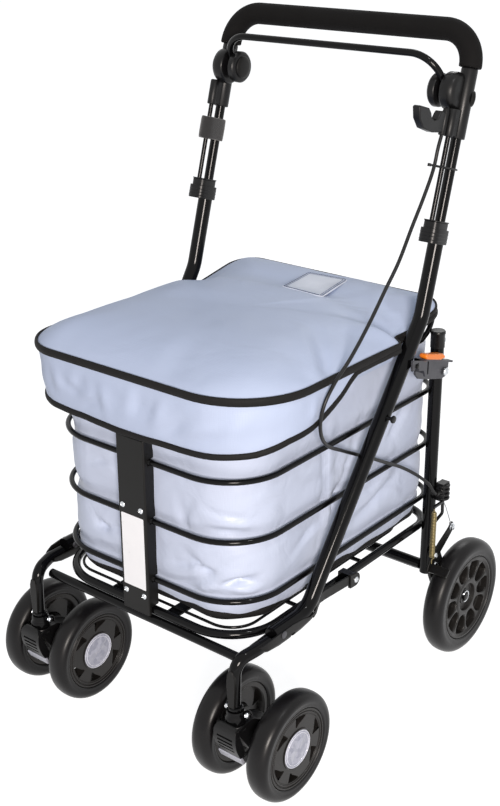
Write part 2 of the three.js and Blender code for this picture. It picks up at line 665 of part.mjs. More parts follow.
// Brake arm with its shoe, which hangs just clear of the tyre
function makeBrakeArm(word, side) {
  const out = [Math.cos(shoeAngle), Math.sin(shoeAngle)];
  const along = [out[1], -out[0]];
  const distance = rearWheel.radius + shoe.gap;
  const point = (radial, tangent) => [
    rearAxleY + out[0] * (distance + radial) + along[0] * tangent,
    rearWheel.radius + out[1] * (distance + radial) + along[1] * tangent,
  ];
  const half = shoe.length / 2;
  const pad = sidePlate([point(0, -half), point(0, half), point(shoe.thickness, half),
    point(shoe.thickness, -half)], armX, halfTrackRear + rearWheel.width * 0.4);
  const r = brakeArm.bossRadius;
  const armOutline = [
    point(shoe.thickness, -half * 0.6), point(0, -half * 0.6),
    [brakePivot.y + r * 0.6, brakePivotZ - r * 0.8],
    [brakeEyelet.y + r * 0.7, brakeEyeletZ - r * 0.5], [brakeEyelet.y - r * 0.2, brakeEyeletZ + r * 0.8],
    [brakePivot.y + r * 0.2, brakePivotZ + r],
  ];
  const arm = sidePlate(armOutline, armX, armX + brakeArm.thickness);
  const hole = disc(armX - overrun, armX + brakeArm.thickness + overrun, brakePivot.y, brakePivotZ,
    bracket.pinRadius + seat, 12);
  place(`brake_arm_${word}`, mirrored(build([pad, arm], [hole]), side), finish.satin);
}

// Cable anchor on the post, with the tab that holds the spring
function makeAnchor(word, side) {
  const x0 = postX + post.radius + seat;
  const z0 = anchorZ - anchor.height / 2;
  const y0 = post.y;
  const block = box(x0, x0 + anchor.width, y0, y0 + anchor.depth, z0, z0 + anchor.height);
  const springX = armX + brakeArm.thickness + spring.radius;
  const tab = box(springX - anchor.tabWidth / 2, springX + anchor.tabWidth / 2, springY - overrun,
    y0 + overrun, z0 - anchor.tabHeight / 2, z0 + anchor.tabHeight / 2);
  const arm = box(x0, springX + anchor.tabWidth / 2, y0 - overrun, y0 + overrun * 3,
    z0 - anchor.tabHeight / 2, z0 + anchor.tabHeight / 2);
  place(`cable_anchor_${word}`, mirrored(build([block, tab, arm]), side), finish.plastic);
}

// Least gap of a wound wire to itself, between points more than half a turn apart along it
function gapToItself(points, wire, stepsPerTurn) {
  const gaps = points.flatMap((p, i) => (
    points.slice(i + 1 + stepsPerTurn / 2).map((q) => p.distanceTo(q) - wire * 2)));
  return Math.min(...gaps);
}

// Extension spring: one wire that winds from its lower hook to its upper hook
function makeSpring(word, side) {
  const x = armX + brakeArm.thickness + spring.radius;
  const total = spring.coils * spring.steps;
  const points = [];
  const hookTop = anchorZ - anchor.height / 2 - anchor.tabHeight / 2 - seat;
  const shoeTop = rearWheel.radius + Math.sin(shoeAngle) * (shoeReach + spring.radius);
  const top = anchorZ - spring.topDrop;
  const bottom = shoeTop + spring.lead;
  points.push(vec(x, springY, shoeTop + spring.radius));
  for (let i = 0; i <= total; i += 1) {
    const turn = (2 * Math.PI * i) / spring.steps;
    const z = THREE.MathUtils.lerp(bottom, top, i / total);
    points.push(vec(x + spring.radius * Math.cos(turn), springY + spring.radius * Math.sin(turn), z));
  }
  points.push(vec(x, springY, hookTop));
  const gap = gapToItself(points, spring.wire, spring.steps);
  console.log(`brake_spring_${word}: least gap to itself ${gap.toFixed(2)} mm`);
  const path = new RoundedPath(points.map((p) => [p]));
  const coil = build([tube(path, spring.wire, spring.sides)]);
  place(`brake_spring_${word}`, mirrored(coil, side), finish.brass);
}

// Latch hook: a joggled plate from the post's bolt to the pin on the handle tube
function makeLatch(word, side) {
  const outX = handleHalfWidth + lowerTube.radius + latch.reach;
  const inX = postX + post.radius + seat;
  const joggleY = lever.frontY - lever.width;
  const boltZ = topRingHeight - latch.boltDrop;
  const slope = lever.fall / (lever.rearY - lever.frontY);
  const rearZ = topRingHeight - lever.fall - lever.thickness / 2 - latch.lift;
  const topAt = (y) => rearZ + slope * (lever.rearY - y);
  const rear = [
    [post.y + post.radius, boltZ - post.radius],
    [post.y + post.radius, topAt(post.y + post.radius)],
    [joggleY, topAt(joggleY)], [joggleY, topAt(joggleY) - post.radius * 2],
    [post.y - post.radius, boltZ - post.radius],
  ];
  const tip = handleBend.y - latch.hookReach;
  const front = [
    [joggleY + latch.thickness, topAt(joggleY)], [tip, topAt(tip)],
    [tip, topAt(tip) - post.radius * 1.6], [tip + post.radius * 0.7, topAt(tip) - post.radius * 1.6],
    [tip + post.radius * 0.7, topAt(tip) - post.radius * 0.7],
    [tip + post.radius * 1.6, topAt(tip) - post.radius * 0.8],
    [tip + post.radius * 1.6, topAt(tip) - post.radius * 2], [joggleY + latch.thickness, topAt(joggleY)
      - post.radius * 2],
  ];
  const bridge = box(inX, outX + latch.thickness, joggleY, joggleY + latch.thickness,
    topAt(joggleY) - post.radius * 2, topAt(joggleY));
  const pieces = [sidePlate(rear, inX, inX + latch.thickness),
    sidePlate(front, outX, outX + latch.thickness), bridge];
  place(`latch_hook_${word}`, mirrored(build(pieces), side), finish.hook);

  const lowAt = (y) => topAt(y) + seat;
  const bar = sidePlate([
    [lever.frontY, lowAt(lever.frontY)], [lever.rearY, lowAt(lever.rearY)],
    [lever.rearY, lowAt(lever.rearY) + lever.thickness],
    [lever.frontY, lowAt(lever.frontY) + lever.thickness],
  ], postX + post.capRadius + seat, inX + lever.width);
  place(`latch_lever_${word}`, mirrored(build([bar]), side), finish.orange);
}

// Lower handle tube: bored at the top for the upper tube, drilled at the foot for the pivot
function makeHandleTube(word, side) {
  const up = vec(0, Math.sin(lean), Math.cos(lean));
  const top = vec(handleHalfWidth, handleTop.y, handleTopZ)
    .addScaledVector(up, collar.top - collar.height);
  const path = new RoundedPath([
    [top], [vec(handleHalfWidth, handleBend.y, topRingHeight + handleBend.rise), lowerTube.bend],
    [vec(footX, footBendY, pivotZ), lowerTube.footBend],
    [vec(footX, pivot.y - pivot.endPast, pivotZ)],
  ], 4);
  const bore = rodBetween(top.clone().addScaledVector(up, overrun),
    top.clone().addScaledVector(up, -lowerTube.boreLength), lowerTube.bore, 12);
  const hole = disc(channelInnerX, channelOuterX, pivot.y, pivotZ, pivot.radius + seat, 12);
  const solid = build([tube(path, lowerTube.radius, 12)], [bore, hole]);
  place(`handle_tube_${word}`, mirrored(solid, side), finish.gloss);
}

// Everything above the collars is built upright and then leant back as one group
const upper = new THREE.Group();
upper.position.set(0, handleTop.y, handleTopZ);
upper.rotation.x = -lean;
group.add(upper);

function makeCollar(word, side) {
  const low = collar.top - collar.height;
  const cx = handleHalfWidth;
  const centreY = rodY * 0.4;
  const slabAt = (width, length, z0, z1) => box(cx - width / 2, cx + width / 2,
    centreY - length / 2, centreY + length / 2, z0, z1);
  const body = slabAt(collar.width, collar.length, low + seat, collar.top - collar.lipHeight);
  const skirt = rodBetween(vec(cx, 0, low - collar.lipHeight), vec(cx, 0, low + overrun),
    lowerTube.radius + slack + collar.lipHeight / 2, 12);
  const lip = slabAt(collar.lipWidth, collar.lipLength,
    collar.top - collar.lipHeight - overrun, collar.top);
  const cuts = [
    rodBetween(vec(cx, 0, low - collar.height), vec(cx, 0, low + seat), lowerTube.radius + seat, 12),
    rodBetween(vec(cx, 0, low - overrun), vec(cx, 0, collar.top + overrun), upperTube.radius + seat, 12),
    rodBetween(vec(cx, rodY, low - overrun), vec(cx, rodY, collar.top + overrun), rod.radius + seat, 10),
  ];
  place(`collar_${word}`, mirrored(build([body, skirt, lip], cuts), side), finish.plastic, upper);
}

function makeUpperTube() {
  const low = collar.top - collar.height - upperTube.insert;
  const x = handleHalfWidth;
  const path = new RoundedPath([
    [vec(-x, 0, low)], [vec(-x, 0, gripTop), grip.bend],
    [vec(x, 0, gripTop), grip.bend], [vec(x, 0, low)],
  ], 5);
  place('upper_tube', build([tube(path, upperTube.radius, 10)]), finish.gloss, upper);
  const gripPath = new RoundedPath([
    [vec(-x, 0, sleeveTop + seat)], [vec(-x, 0, gripTop), grip.bend],
    [vec(x, 0, gripTop), grip.bend], [vec(x, 0, sleeveTop + seat)],
  ], 5);
  const foam = tube(gripPath, grip.radius, 10, upperTube.radius + seat * 2);
  place('grip', toGeometry(toSolid(foam)), finish.foam, upper);
}

// Housing: sleeve on both tubes, and a spool that the brake bar's eye turns on
function makeHousing(word, side) {
  const x = handleHalfWidth;
  const y = -drum.forward;
  const sleeveTube = rodBetween(vec(x, 0, sleeveBottom), vec(x, 0, sleeveTop), sleeve.radius, 14);
  const rodSleeve = rodBetween(vec(x, rodY, sleeveBottom), vec(x, rodY, rodSleeveTop),
    sleeve.rodRadius, 12);
  const web = box(x - sleeve.rodRadius, x + sleeve.rodRadius, rodY, 0,
    sleeveBottom + overrun, rodSleeveTop);
  const drumIn = x - sleeve.radius - drum.outer;
  const discOut = drumIn - drum.gap;
  const pieces = [
    sleeveTube, rodSleeve, web,
    disc(drumIn, x, y, drum.height, drum.radius, 20),
    disc(discOut - overrun, drumIn + overrun, y, drum.height, drum.pin, 12),
    disc(discOut - drum.disc, discOut, y, drum.height, drum.innerRadius, 20),
  ];
  if (side > 0) {
    const barrelY = rodY - sleeve.rodRadius - cable.radius;
    pieces.push(rodBetween(vec(x - cable.radius * 2, barrelY, sleeveBottom),
      vec(x - cable.radius * 2, barrelY, rodSleeveTop), cable.radius * 2, 12));
  }
  const cuts = [
    rodBetween(vec(x, 0, sleeveBottom - overrun), vec(x, 0, sleeveTop + overrun),
      upperTube.radius + seat, 12),
    rodBetween(vec(x, rodY, sleeveBottom - overrun), vec(x, rodY, rodSleeveTop - overrun * 2),
      rod.radius + seat, 10),
  ];
  place(`handle_housing_${word}`, mirrored(build(pieces, cuts), side), finish.plastic, upper);
  const rodLow = collar.top - rod.insert;
  const thin = rodBetween(vec(x, rodY, rodLow), vec(x, rodY, rodSleeveTop - overrun * 2 - seat),
    rod.radius, 10);
  place(`thin_rod_${word}`, mirrored(build([thin]), side), finish.gloss, upper);
}

// Hook for a bag on the right housing
function makeBagHook() {
  const x = handleHalfWidth - sleeve.rodRadius;
  const y = rodY - sleeve.rodRadius - cable.radius * 3 - seat;
  const outline = hookShares.map(([out, up]) => [
    y - out * bagHook.reach, sleeveBottom + up * bagHook.height]);
  const hook = sidePlate(outline, x - bagHook.width / 2, x + bagHook.width / 2);
  place('bag_hook', build([hook]), finish.plastic, upper);
}

function makeBrakeBar() {
  const drumIn = handleHalfWidth - sleeve.radius - drum.outer;
  const x = drumIn - drum.gap / 2;
  const turned = (y, z) => [
    y * Math.cos(lean) - z * Math.sin(lean), y * Math.sin(lean) + z * Math.cos(lean)];
  const [armY, armZ] = turned(brakeBar.reachY, brakeBar.reachZ);
  const y = -drum.forward;
  const start = [y + armY * 0.2, drum.height + armZ * 0.2];
  const path = new RoundedPath([
    [vec(-x, start[0], start[1])], [vec(-x, y + armY, drum.height + armZ), brakeBar.bend * 0.8],
    [vec(x, y + armY, drum.height + armZ), brakeBar.bend * 0.8], [vec(x, start[0], start[1])],
  ], 4);
  const pieces = [tube(path, brakeBar.radius, 8)];
  const cuts = [];
  const half = brakeBar.eyeThickness / 2;
  for (const side of [1, -1]) {
    pieces.push(disc(side * x - half, side * x + half, y, drum.height, brakeBar.eyeRadius, 14));
    cuts.push(disc(side * x - drum.gap, side * x + drum.gap, y, drum.height, drum.pin + seat, 12));
    const faceGap = drum.gap / 2 - seat;
    const reach = drum.radius + overrun;
    for (const sign of [1, -1]) {
      const near = side * x + sign * faceGap;
      cuts.push(disc(near, near + sign * drum.gap, y, drum.height, reach, 12));
    }
  }
  place('brake_bar', build(pieces, cuts), finish.gloss, upper);
}

// Brake cable from the right housing round the front of the tube to the right anchor
function makeBrakeCable() {
  const start = upperToWorld(vec(handleHalfWidth - cable.radius * 2,
    rodY - sleeve.rodRadius - cable.radius, sleeveBottom - seat));
  const end = vec(armX + cable.radius, post.y - slack, anchorZ + cable.radius);
  const nearEnd = end.clone().sub(vec(0, cable.radius * 4, 0));
  const places = cableShares.map(([x, y, z]) => (
    vec(handleHalfWidth * x, start.y * y, start.z * z)));
  const route = [start, ...places, nearEnd, end];
  const curve = new THREE.CatmullRomCurve3(route);
  const points = curve.getSpacedPoints(cable.steps);
  const path = new RoundedPath(points.map((p) => [p]));
  place('brake_cable', build([tube(path, cable.radius, cable.sides)]), finish.cable);
}

function upperToWorld(point) {
  upper.updateMatrixWorld(true);
  return point.applyMatrix4(upper.matrixWorld);
}

// Second cable: down the back of one post, under the rear cross tube and up the other
function makeCrossCable() {
  const z0 = anchorZ - anchor.height / 2 - seat;
  const y = post.y + post.radius + cable.radius * 2.4;
  const low = rearCross.z - rearCross.radius - cable.radius * 4;
  const outX = postX + post.radius + cable.radius * 2;
  const half = (side) => [
    [vec(side * outX, y - overrun, z0)],
    [vec(side * outX, y, z0 - cable.bend), cable.bend / 2],
    [vec(side * (postX - cable.radius), y, z0 - cable.bend * 2), cable.bend / 2],
    [vec(side * (postX - cable.radius), y, low), cable.bend],
  ];
  const path = new RoundedPath([...half(1), ...half(-1).reverse()], 3);
  place('cross_cable', build([tube(path, cable.radius, cable.sides)]), finish.cable);
}

makeBase();
makeRings();
makeFrontPlate();
makeBag();
makeLid();
makeFrontCross();
makeRearFrame();
for (const [word, side] of sides) {
  makeSideChannel(word, side);
  makeLeg(word, side);
  makeCaster(word, side);
  makeRearWheel(word, side);
  makeBrakeArm(word, side);
  makeAnchor(word, side);
  makeSpring(word, side);
  makeLatch(word, side);
  makeHandleTube(word, side);
  makeCollar(word, side);
  makeHousing(word, side);
}
makeUpperTube();
makeBagHook();
makeBrakeBar();
makeBrakeCable();
makeCrossCable();

export default group;
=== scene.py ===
import bpy
import bmesh
import math
from mathutils import Matrix, Vector, noise


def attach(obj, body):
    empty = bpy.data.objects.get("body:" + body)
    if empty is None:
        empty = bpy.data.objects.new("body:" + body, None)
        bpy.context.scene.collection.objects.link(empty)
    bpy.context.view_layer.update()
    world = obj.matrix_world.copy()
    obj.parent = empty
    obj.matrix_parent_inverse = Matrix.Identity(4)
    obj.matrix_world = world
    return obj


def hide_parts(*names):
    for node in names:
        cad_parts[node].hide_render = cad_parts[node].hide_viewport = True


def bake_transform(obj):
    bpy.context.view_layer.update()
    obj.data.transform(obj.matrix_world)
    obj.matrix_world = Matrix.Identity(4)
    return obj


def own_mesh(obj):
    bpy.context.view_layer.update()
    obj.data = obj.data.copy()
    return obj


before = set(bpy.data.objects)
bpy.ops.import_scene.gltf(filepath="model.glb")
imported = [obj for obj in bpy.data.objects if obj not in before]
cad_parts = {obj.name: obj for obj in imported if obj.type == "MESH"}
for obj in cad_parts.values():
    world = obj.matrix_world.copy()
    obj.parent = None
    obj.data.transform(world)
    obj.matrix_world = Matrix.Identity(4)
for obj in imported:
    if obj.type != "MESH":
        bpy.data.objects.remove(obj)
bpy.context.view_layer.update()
mm = 0.001
halfTurn = math.pi


def linear(hexColour):
    # sRGB hex to the linear colour that a shader wants
    channels = [int(hexColour[i:i + 2], 16) / 255 for i in (1, 3, 5)]
    return [c / 12.92 if c <= 0.04045 else ((c + 0.055) / 1.055) ** 2.4 for c in channels] + [1.0]


def addNode(tree, kind, links=None, **settings):
    node = tree.nodes.new(kind)
    for name, value in settings.items():
        setattr(node, name, value)
    for socket, value in (links or {}).items():
        if isinstance(value, bpy.types.NodeSocket):
            tree.links.new(value, node.inputs[socket])
        else:
            node.inputs[socket].default_value = value
    return node


# finishes
def newFinish(name, colour, tint, roughness, grain, depth, spread=0.05, patch=40, metallic=0.0, **sockets):
    # colour and tint: close colours in blotches of patch mm; grain and depth: the bump's size and height in mm
    material = bpy.data.materials.new(name)
    material.use_nodes = True
    tree = material.node_tree
    shader = tree.nodes["Principled BSDF"]
    place = addNode(tree, "ShaderNodeTexCoord").outputs["Object"]
    blotch = addNode(tree, "ShaderNodeTexNoise", {"Vector": place, "Scale": 1000 / patch, "Detail": 4.0})
    fine = addNode(tree, "ShaderNodeTexNoise", {"Vector": place, "Scale": 1000 / grain, "Detail": 2.0})
    mix = addNode(tree, "ShaderNodeMix", {0: blotch.outputs[0], 6: linear(colour), 7: linear(tint)}, data_type="RGBA")
    rough = addNode(tree, "ShaderNodeMapRange", {
        "Value": blotch.outputs[0], "From Min": 0.3, "From Max": 0.7,
        "To Min": roughness - spread, "To Max": roughness + spread})
    bump = addNode(tree, "ShaderNodeBump", {"Height": fine.outputs[0], "Distance": depth * mm, "Strength": 0.9})
    tree.links.new(mix.outputs[2], shader.inputs["Base Color"])
    tree.links.new(rough.outputs[0], shader.inputs["Roughness"])
    tree.links.new(bump.outputs[0], shader.inputs["Normal"])
    shader.inputs["Metallic"].default_value = metallic
    for socket, value in sockets.items():
        shader.inputs[socket.replace("_", " ")].default_value = value
    return material


def addWeave(material, thread, depth, crease=0.0, creaseSize=60):
    # three sets of fine bands along the axes read as a weave on every face; thread in mm
    tree = material.node_tree
    shader = tree.nodes["Principled BSDF"]
    place = addNode(tree, "ShaderNodeTexCoord").outputs["Object"]
    total = None
    for axis in "XYZ":
        bands = addNode(tree, "ShaderNodeTexWave", {"Vector": place, "Scale": 1000 / thread / 6.283,
                                                    "Distortion": 0.6, "Detail Scale": 3.0}, bands_direction=axis)
        total = bands.outputs["Fac"] if total is None else addNode(
            tree, "ShaderNodeMath", {0: total, 1: bands.outputs["Fac"]}, operation="ADD").outputs[0]
    before = shader.inputs["Normal"].links[0].from_socket
    bump = addNode(tree, "ShaderNodeBump", {"Height": total, "Distance": depth * mm, "Strength": 0.6,
                                            "Normal": before})
    if crease:
        soft = addNode(tree, "ShaderNodeTexNoise", {"Vector": place, "Scale": 1000 / creaseSize, "Detail": 2.0,
                                                    "Distortion": 1.2})
        bump = addNode(tree, "ShaderNodeBump", {"Height": soft.outputs[0], "Distance": crease * mm, "Strength": 0.7,
                                                "Normal": bump.outputs[0]})
    tree.links.new(bump.outputs[0], shader.inputs["Normal"])
    return material


def addPaintedFacetReflections(material, size, dark, light):
    # painted reflection: cells of light and dark mixed into the colour stand in for light reflected by the prism
    # facets behind the clear face; size in mm
    tree = material.node_tree
    shader = tree.nodes["Principled BSDF"]
    place = addNode(tree, "ShaderNodeTexCoord").outputs["Object"]
    cells = addNode(tree, "ShaderNodeTexVoronoi", {"Vector": place, "Scale": 1000 / size})
    grey = addNode(tree, "ShaderNodeSeparateColor", {0: cells.outputs["Color"]})
    tone = addNode(tree, "ShaderNodeMix", {0: grey.outputs[0], 6: linear(dark), 7: linear(light)}, data_type="RGBA")
    before = shader.inputs["Base Color"].links[0].from_socket
    both = addNode(tree, "ShaderNodeMix", {0: 0.45, 6: before, 7: tone.outputs[2]}, data_type="RGBA")
    tree.links.new(both.outputs[2], shader.inputs["Base Color"])
    return material


# powder coat over steel tube: deep black, wet-looking, with a faint orange peel of about 2 mm
glossBlack = newFinish("powderCoatedSteel", "#060607", "#0b0b0c", 0.14, 9.0, 0.01, 0.03, 60,
                       Specular_IOR_Level=0.08, Coat_Weight=0.16, Coat_Roughness=0.04)
# stoved satin paint on pressed plate: even, dark, softer highlights
satinBlack = newFinish("satinPaintedPlate", "#100f0f", "#151514", 0.38, 1.2, 0.02, 0.06, 30, Specular_IOR_Level=0.17)
# injection-moulded nylon with a fine spark-eroded texture
nylonBlack = newFinish("mouldedNylon", "#0b0b0c", "#111112", 0.34, 0.8, 0.025, 0.07, 25, Specular_IOR_Level=0.25)
# thermoplastic rubber tyre: near black, dull
tyreRubber = newFinish("softTyreRubber", "#0d0c0d", "#131213", 0.33, 1.6, 0.025, 0.06, 35, Specular_IOR_Level=0.22)
# glass-filled wheel centre: slightly smoother than the tyre
hubPlastic = newFinish("glassFilledNylonHub", "#1b1a19", "#232120", 0.32, 0.9, 0.02, 0.05, 20, Specular_IOR_Level=0.22)
# closed-cell foam grip: no shine, open pores drawn at 1.4 mm so that they show
gripFoam = newFinish("closedCellFoam", "#0b0a0a", "#121111", 0.85, 1.4, 0.16, 0.05, 30, Specular_IOR_Level=0.15)
# coated polyester cloth in pale blue: satin, threads drawn at 1.3 mm, soft creases
lidCloth = addWeave(newFinish("coatedPolyesterLid", "#b2bfda", "#bac6df", 0.5, 0.9, 0.02, 0.06, 90,
                              Sheen_Weight=0.05, Specular_IOR_Level=0.3), 1.3, 0.05, 2.2, 85)
bagCloth = addWeave(newFinish("coatedPolyesterBag", "#bcc6dc", "#c4cde2", 0.42, 0.9, 0.02, 0.06, 70,
                              Sheen_Weight=0.05, Specular_IOR_Level=0.4), 1.3, 0.05, 3.5, 55)
# bias binding of ribbed black tape, ribs drawn at 1.1 mm
bindingTape = addWeave(newFinish("grosgrainTape", "#0d0c0c", "#151414", 0.7, 0.8, 0.04, 0.05, 12,
                                 Specular_IOR_Level=0.2), 1.1, 0.12)
# bright zinc on steel screws
zincSteel = newFinish("zincPlatedSteel", "#c9ccd0", "#dde0e3", 0.22, 0.6, 0.01, 0.06, 6, metallic=1.0)
# the same steel under a dark phosphate finish, as the hooks have
greySteel = newFinish("phosphatedSteelPlate", "#46464a", "#505055", 0.45, 0.9, 0.02, 0.07, 14, metallic=0.6)
# spring wire passivated yellow
springWire = newFinish("yellowPassivatedWire", "#7d7150", "#978963", 0.36, 0.6, 0.01, 0.06, 5, metallic=0.9)
# orange polypropylene lever, glossy from the mould
leverOrange = newFinish("mouldedPolypropylene", "#ef7a18", "#f58a2c", 0.33, 1.0, 0.02, 0.04, 12)
# PVC outer of a brake cable
cableJacket = newFinish("cableJacketVinyl", "#0c0c0c", "#131314", 0.38, 0.8, 0.02, 0.05, 15, Specular_IOR_Level=0.3)
# bare stranded inner wire
innerWire = newFinish("strandedSteelWire", "#a6a8ab", "#c2c4c6", 0.3, 0.5, 0.02, 0.05, 3, metallic=1.0)
# printed film, left bare: slightly glossy white
labelFilm = newFinish("polyesterLabelFilm", "#eef0f4", "#f6f7fa", 0.3, 3.0, 0.01, 0.04, 20)
# woven damask patch, left bare, threads drawn at 0.9 mm
patchCloth = addWeave(newFinish("wovenPatchCloth", "#dfe5f2", "#e8edf7", 0.7, 0.7, 0.03, 0.05, 10), 0.9, 0.06)
patchThread = newFinish("navyStitchThread", "#3c4a6e", "#4a587c", 0.7, 0.5, 0.05, 0.05, 4)
# light grey acetal on the lock pedals
greyAcetal = newFinish("greyAcetal", "#9c9fab", "#b0b3be", 0.4, 0.9, 0.02, 0.05, 10)
# clear acrylic reflector over prisms: milky grey, with painted reflections of the prism facets in small light and dark
# cells
reflector = addPaintedFacetReflections(newFinish("acrylicReflector", "#7f8296", "#a9acbd", 0.16, 4.0, 0.08, 0.05, 12,
                               Coat_Weight=0.5), 5.5, "#7b7e92", "#bfc2d0")
# clear ridges coloured near white: a painted highlight for light glinting on the reflector's rim
ridgeHighlight = newFinish("clearAcrylicRidge", "#c9ccd8", "#e3e5ee", 0.12, 2.0, 0.05, 0.04, 6, Coat_Weight=0.5)
# brushed-nylon hook and loop strap
fuzzyStrap = newFinish("hookAndLoopNylon", "#161616", "#242323", 0.9, 1.1, 0.5, 0.04, 4, Sheen_Weight=0.5)
print("finishes ready")


# mesh building, in millimetres
def roundPath(corners, steps=10):
    # straight runs with rounded corners; a corner is (point, radius) and an end is (point, 0)
    points = []
    for i, (corner, radius) in enumerate(corners):
        corner = Vector(corner)
        if not radius:
            points.append(corner)
            continue
        before = (Vector(corners[i - 1][0]) - corner).normalized()
        after = (Vector(corners[i + 1][0]) - corner).normalized()
        half = before.angle(after) / 2
        centre = corner + (before + after).normalized() * radius / math.sin(half)
        start = corner + before * radius / math.tan(half) - centre
        end = corner + after * radius / math.tan(half) - centre
        axis = start.cross(end).normalized()
        sweep = start.angle(end)
        for k in range(steps + 1):
            points.append(centre + Matrix.Rotation(sweep * k / steps, 3, axis) @ start)
    return points


def splineThrough(points, count):
    # Catmull-Rom between the second point and the last but one, count samples a span
    made = []
    for i in range(1, len(points) - 2):
        a, b, c, d = points[i - 1:i + 3]
        for k in range(count):
            t = k / count
            made.append(0.5 * (2 * b + (c - a) * t + (2 * a - 5 * b + 4 * c - d) * t * t
                               + (3 * b - a - 3 * c + d) * t ** 3))
    return made


def smoothPath(points, count):
    points = [Vector(p) for p in points]
    padded = [points[0] * 2 - points[1]] + points + [points[-1] * 2 - points[-2]]
    return splineThrough(padded, count) + [points[-1]]


def smoothOutline(points, count):
    # the same round a closed flat outline
    around = [Vector((*p, 0)) for p in [points[-1]] + list(points) + points[:2]]
    return [(p.x, p.y) for p in splineThrough(around, count)]


def arc(a, b, radius, angles, tall=None):
    # places on an arc about (a, b), angles in degrees; tall is its radius along the second axis
    tall = radius if tall is None else tall
    return [(a + radius * math.cos(math.radians(t)), b + tall * math.sin(math.radians(t))) for t in angles]


def roundedOutline(x0, x1, y0, y1, r, steps=5):
    outline = []
    for cx, cy, start in ((x1 - r, y0 + r, -90), (x1 - r, y1 - r, 0), (x0 + r, y1 - r, 90), (x0 + r, y0 + r, 180)):
        outline += arc(cx, cy, r, [start + 90 * k / steps for k in range(steps + 1)])
    return outline


def denser(points, gap):
    # a closed path with its long spans cut into parts of about gap mm
    dense = []
    for i, point in enumerate(points):
        after = points[(i + 1) % len(points)]
        count = max(1, round((after - point).length / gap))
        dense += [point.lerp(after, k / count) for k in range(count)]
    return dense


def ringPath(halfWidth, frontY, rearY, front, rear, height, steps=14):
    # a rounded rectangle in plan, starting at the middle of the front; height is a function of the place
    corners = [((0, frontY), 0), ((halfWidth, frontY), front), ((halfWidth, rearY), rear),
               ((-halfWidth, rearY), rear), ((-halfWidth, frontY), front), ((0, frontY), 0)]
    flat = roundPath([((x, y, 0), r) for (x, y), r in corners], steps)[:-1]
    return [Vector((p.x, p.y, height(p.x, p.y))) for p in denser(flat, 14)]


def joinRows(bm, rows, closed=False, loop=True):
    # faces between rows of vertices; closed joins the last row to the first, loop closes every row
    for one, two in zip(rows, rows[1:] + rows[:1] if closed else rows[1:]):
        for i in range(len(one) if loop else len(one) - 1):
            j = (i + 1) % len(one)
            bm.faces.new((one[i], one[j], two[j], two[i]))


def addSolid(bm, one, two):
    # caps two rows of vertices and walls the space between them
    bm.faces.new(one)
    bm.faces.new(two)
    joinRows(bm, [one, two])


def addTube(bm, points, radius, sides=18, closed=False, squeeze=1.0, domed=False):
    # sweeps a circle along points with steady frames; radius may be a function of the share along the path
    points = [Vector(p) for p in points]
    count = len(points)
    size = radius if callable(radius) else (lambda share: radius)
    tangents = []
    for i in range(count):
        back = points[i - 1] if closed or i else points[i]
        ahead = points[(i + 1) % count] if closed or i < count - 1 else points[i]
        tangents.append((ahead - back).normalized())
    side = tangents[0].orthogonal().normalized()
    if abs(tangents[0].z) < 0.9:
        side = tangents[0].cross(Vector((0, 0, 1))).normalized()
    sidesAt = [side]
    for i in range(1, count):
        side = (side - tangents[i] * side.dot(tangents[i])).normalized()
        sidesAt.append(side)
    rings = []
    for i, point in enumerate(points):
        up = tangents[i].cross(sidesAt[i])
        r = size(i / max(count - 1, 1))
        turns = [2 * halfTurn * (k + 0.5) / sides for k in range(sides)]
        rings.append([bm.verts.new(point + sidesAt[i] * r * math.cos(turn) + up * r * squeeze * math.sin(turn))
                      for turn in turns])
    joinRows(bm, rings, closed)
    if not closed:
        for ring, point, way in ((rings[0], points[0], -tangents[0]), (rings[-1], points[-1], tangents[-1])):
            if domed:
                middle = bm.verts.new(point + way * size(0) * 0.35)
                for k in range(sides):
                    bm.faces.new((ring[k], ring[(k + 1) % sides], middle))
            else:
                bm.faces.new(ring)


def addLathe(bm, profile, centre, axis=(1, 0, 0), segments=48, closed=True):
    # turns a profile of (along the axis, radius) about an axis through centre
    axis = Vector(axis).normalized()
    side = axis.orthogonal().normalized()
    up = axis.cross(side)
    centre = Vector(centre)
    rings = []
    for k in range(segments):
        turn = 2 * halfTurn * k / segments
        out = side * math.cos(turn) + up * math.sin(turn)
        rings.append([bm.verts.new(centre + axis * a + out * r) for a, r in profile])
    last = len(profile) if closed else len(profile) - 1
    for k in range(segments):
        one, two = rings[k], rings[(k + 1) % segments]
        for i in range(last):
            j = (i + 1) % len(profile)
            if profile[i][1] == 0 and profile[j][1] == 0:
                continue
            bm.faces.new((one[i], one[j], two[j], two[i]))


def addPlate(bm, outline, lo, hi, axis="x"):
    # extrudes an outline: (y, z) along x, (x, y) along z or (x, z) along y
    def at(a, b, along):
        return {"x": (along, a, b), "y": (a, along, b), "z": (a, b, along)}[axis]
    addSolid(bm, *([bm.verts.new(at(a, b, along)) for a, b in outline] for along in sorted((lo, hi))))


def addBox(bm, one, two):
    # a box between any two opposite corners
    (x0, y0, z0), (x1, y1, z1) = map(min, one, two), map(max, one, two)
    addPlate(bm, [(x0, y0), (x1, y0), (x1, y1), (x0, y1)], z0, z1, "z")


def addDisc(bm, start, end, radius, sides=32, round=0.6):
    # a cylinder between two points with rounded rims
    start, end = Vector(start), Vector(end)
    length = (end - start).length
    r = min(round, length / 3, radius / 3)
    profile = [(0, 0), (0, radius - r), (r * 0.3, radius - r * 0.3), (r, radius), (length - r, radius),
               (length - r * 0.3, radius - r * 0.3), (length, radius - r), (length, 0)]
    addLathe(bm, profile, start, end - start, sides, closed=False)


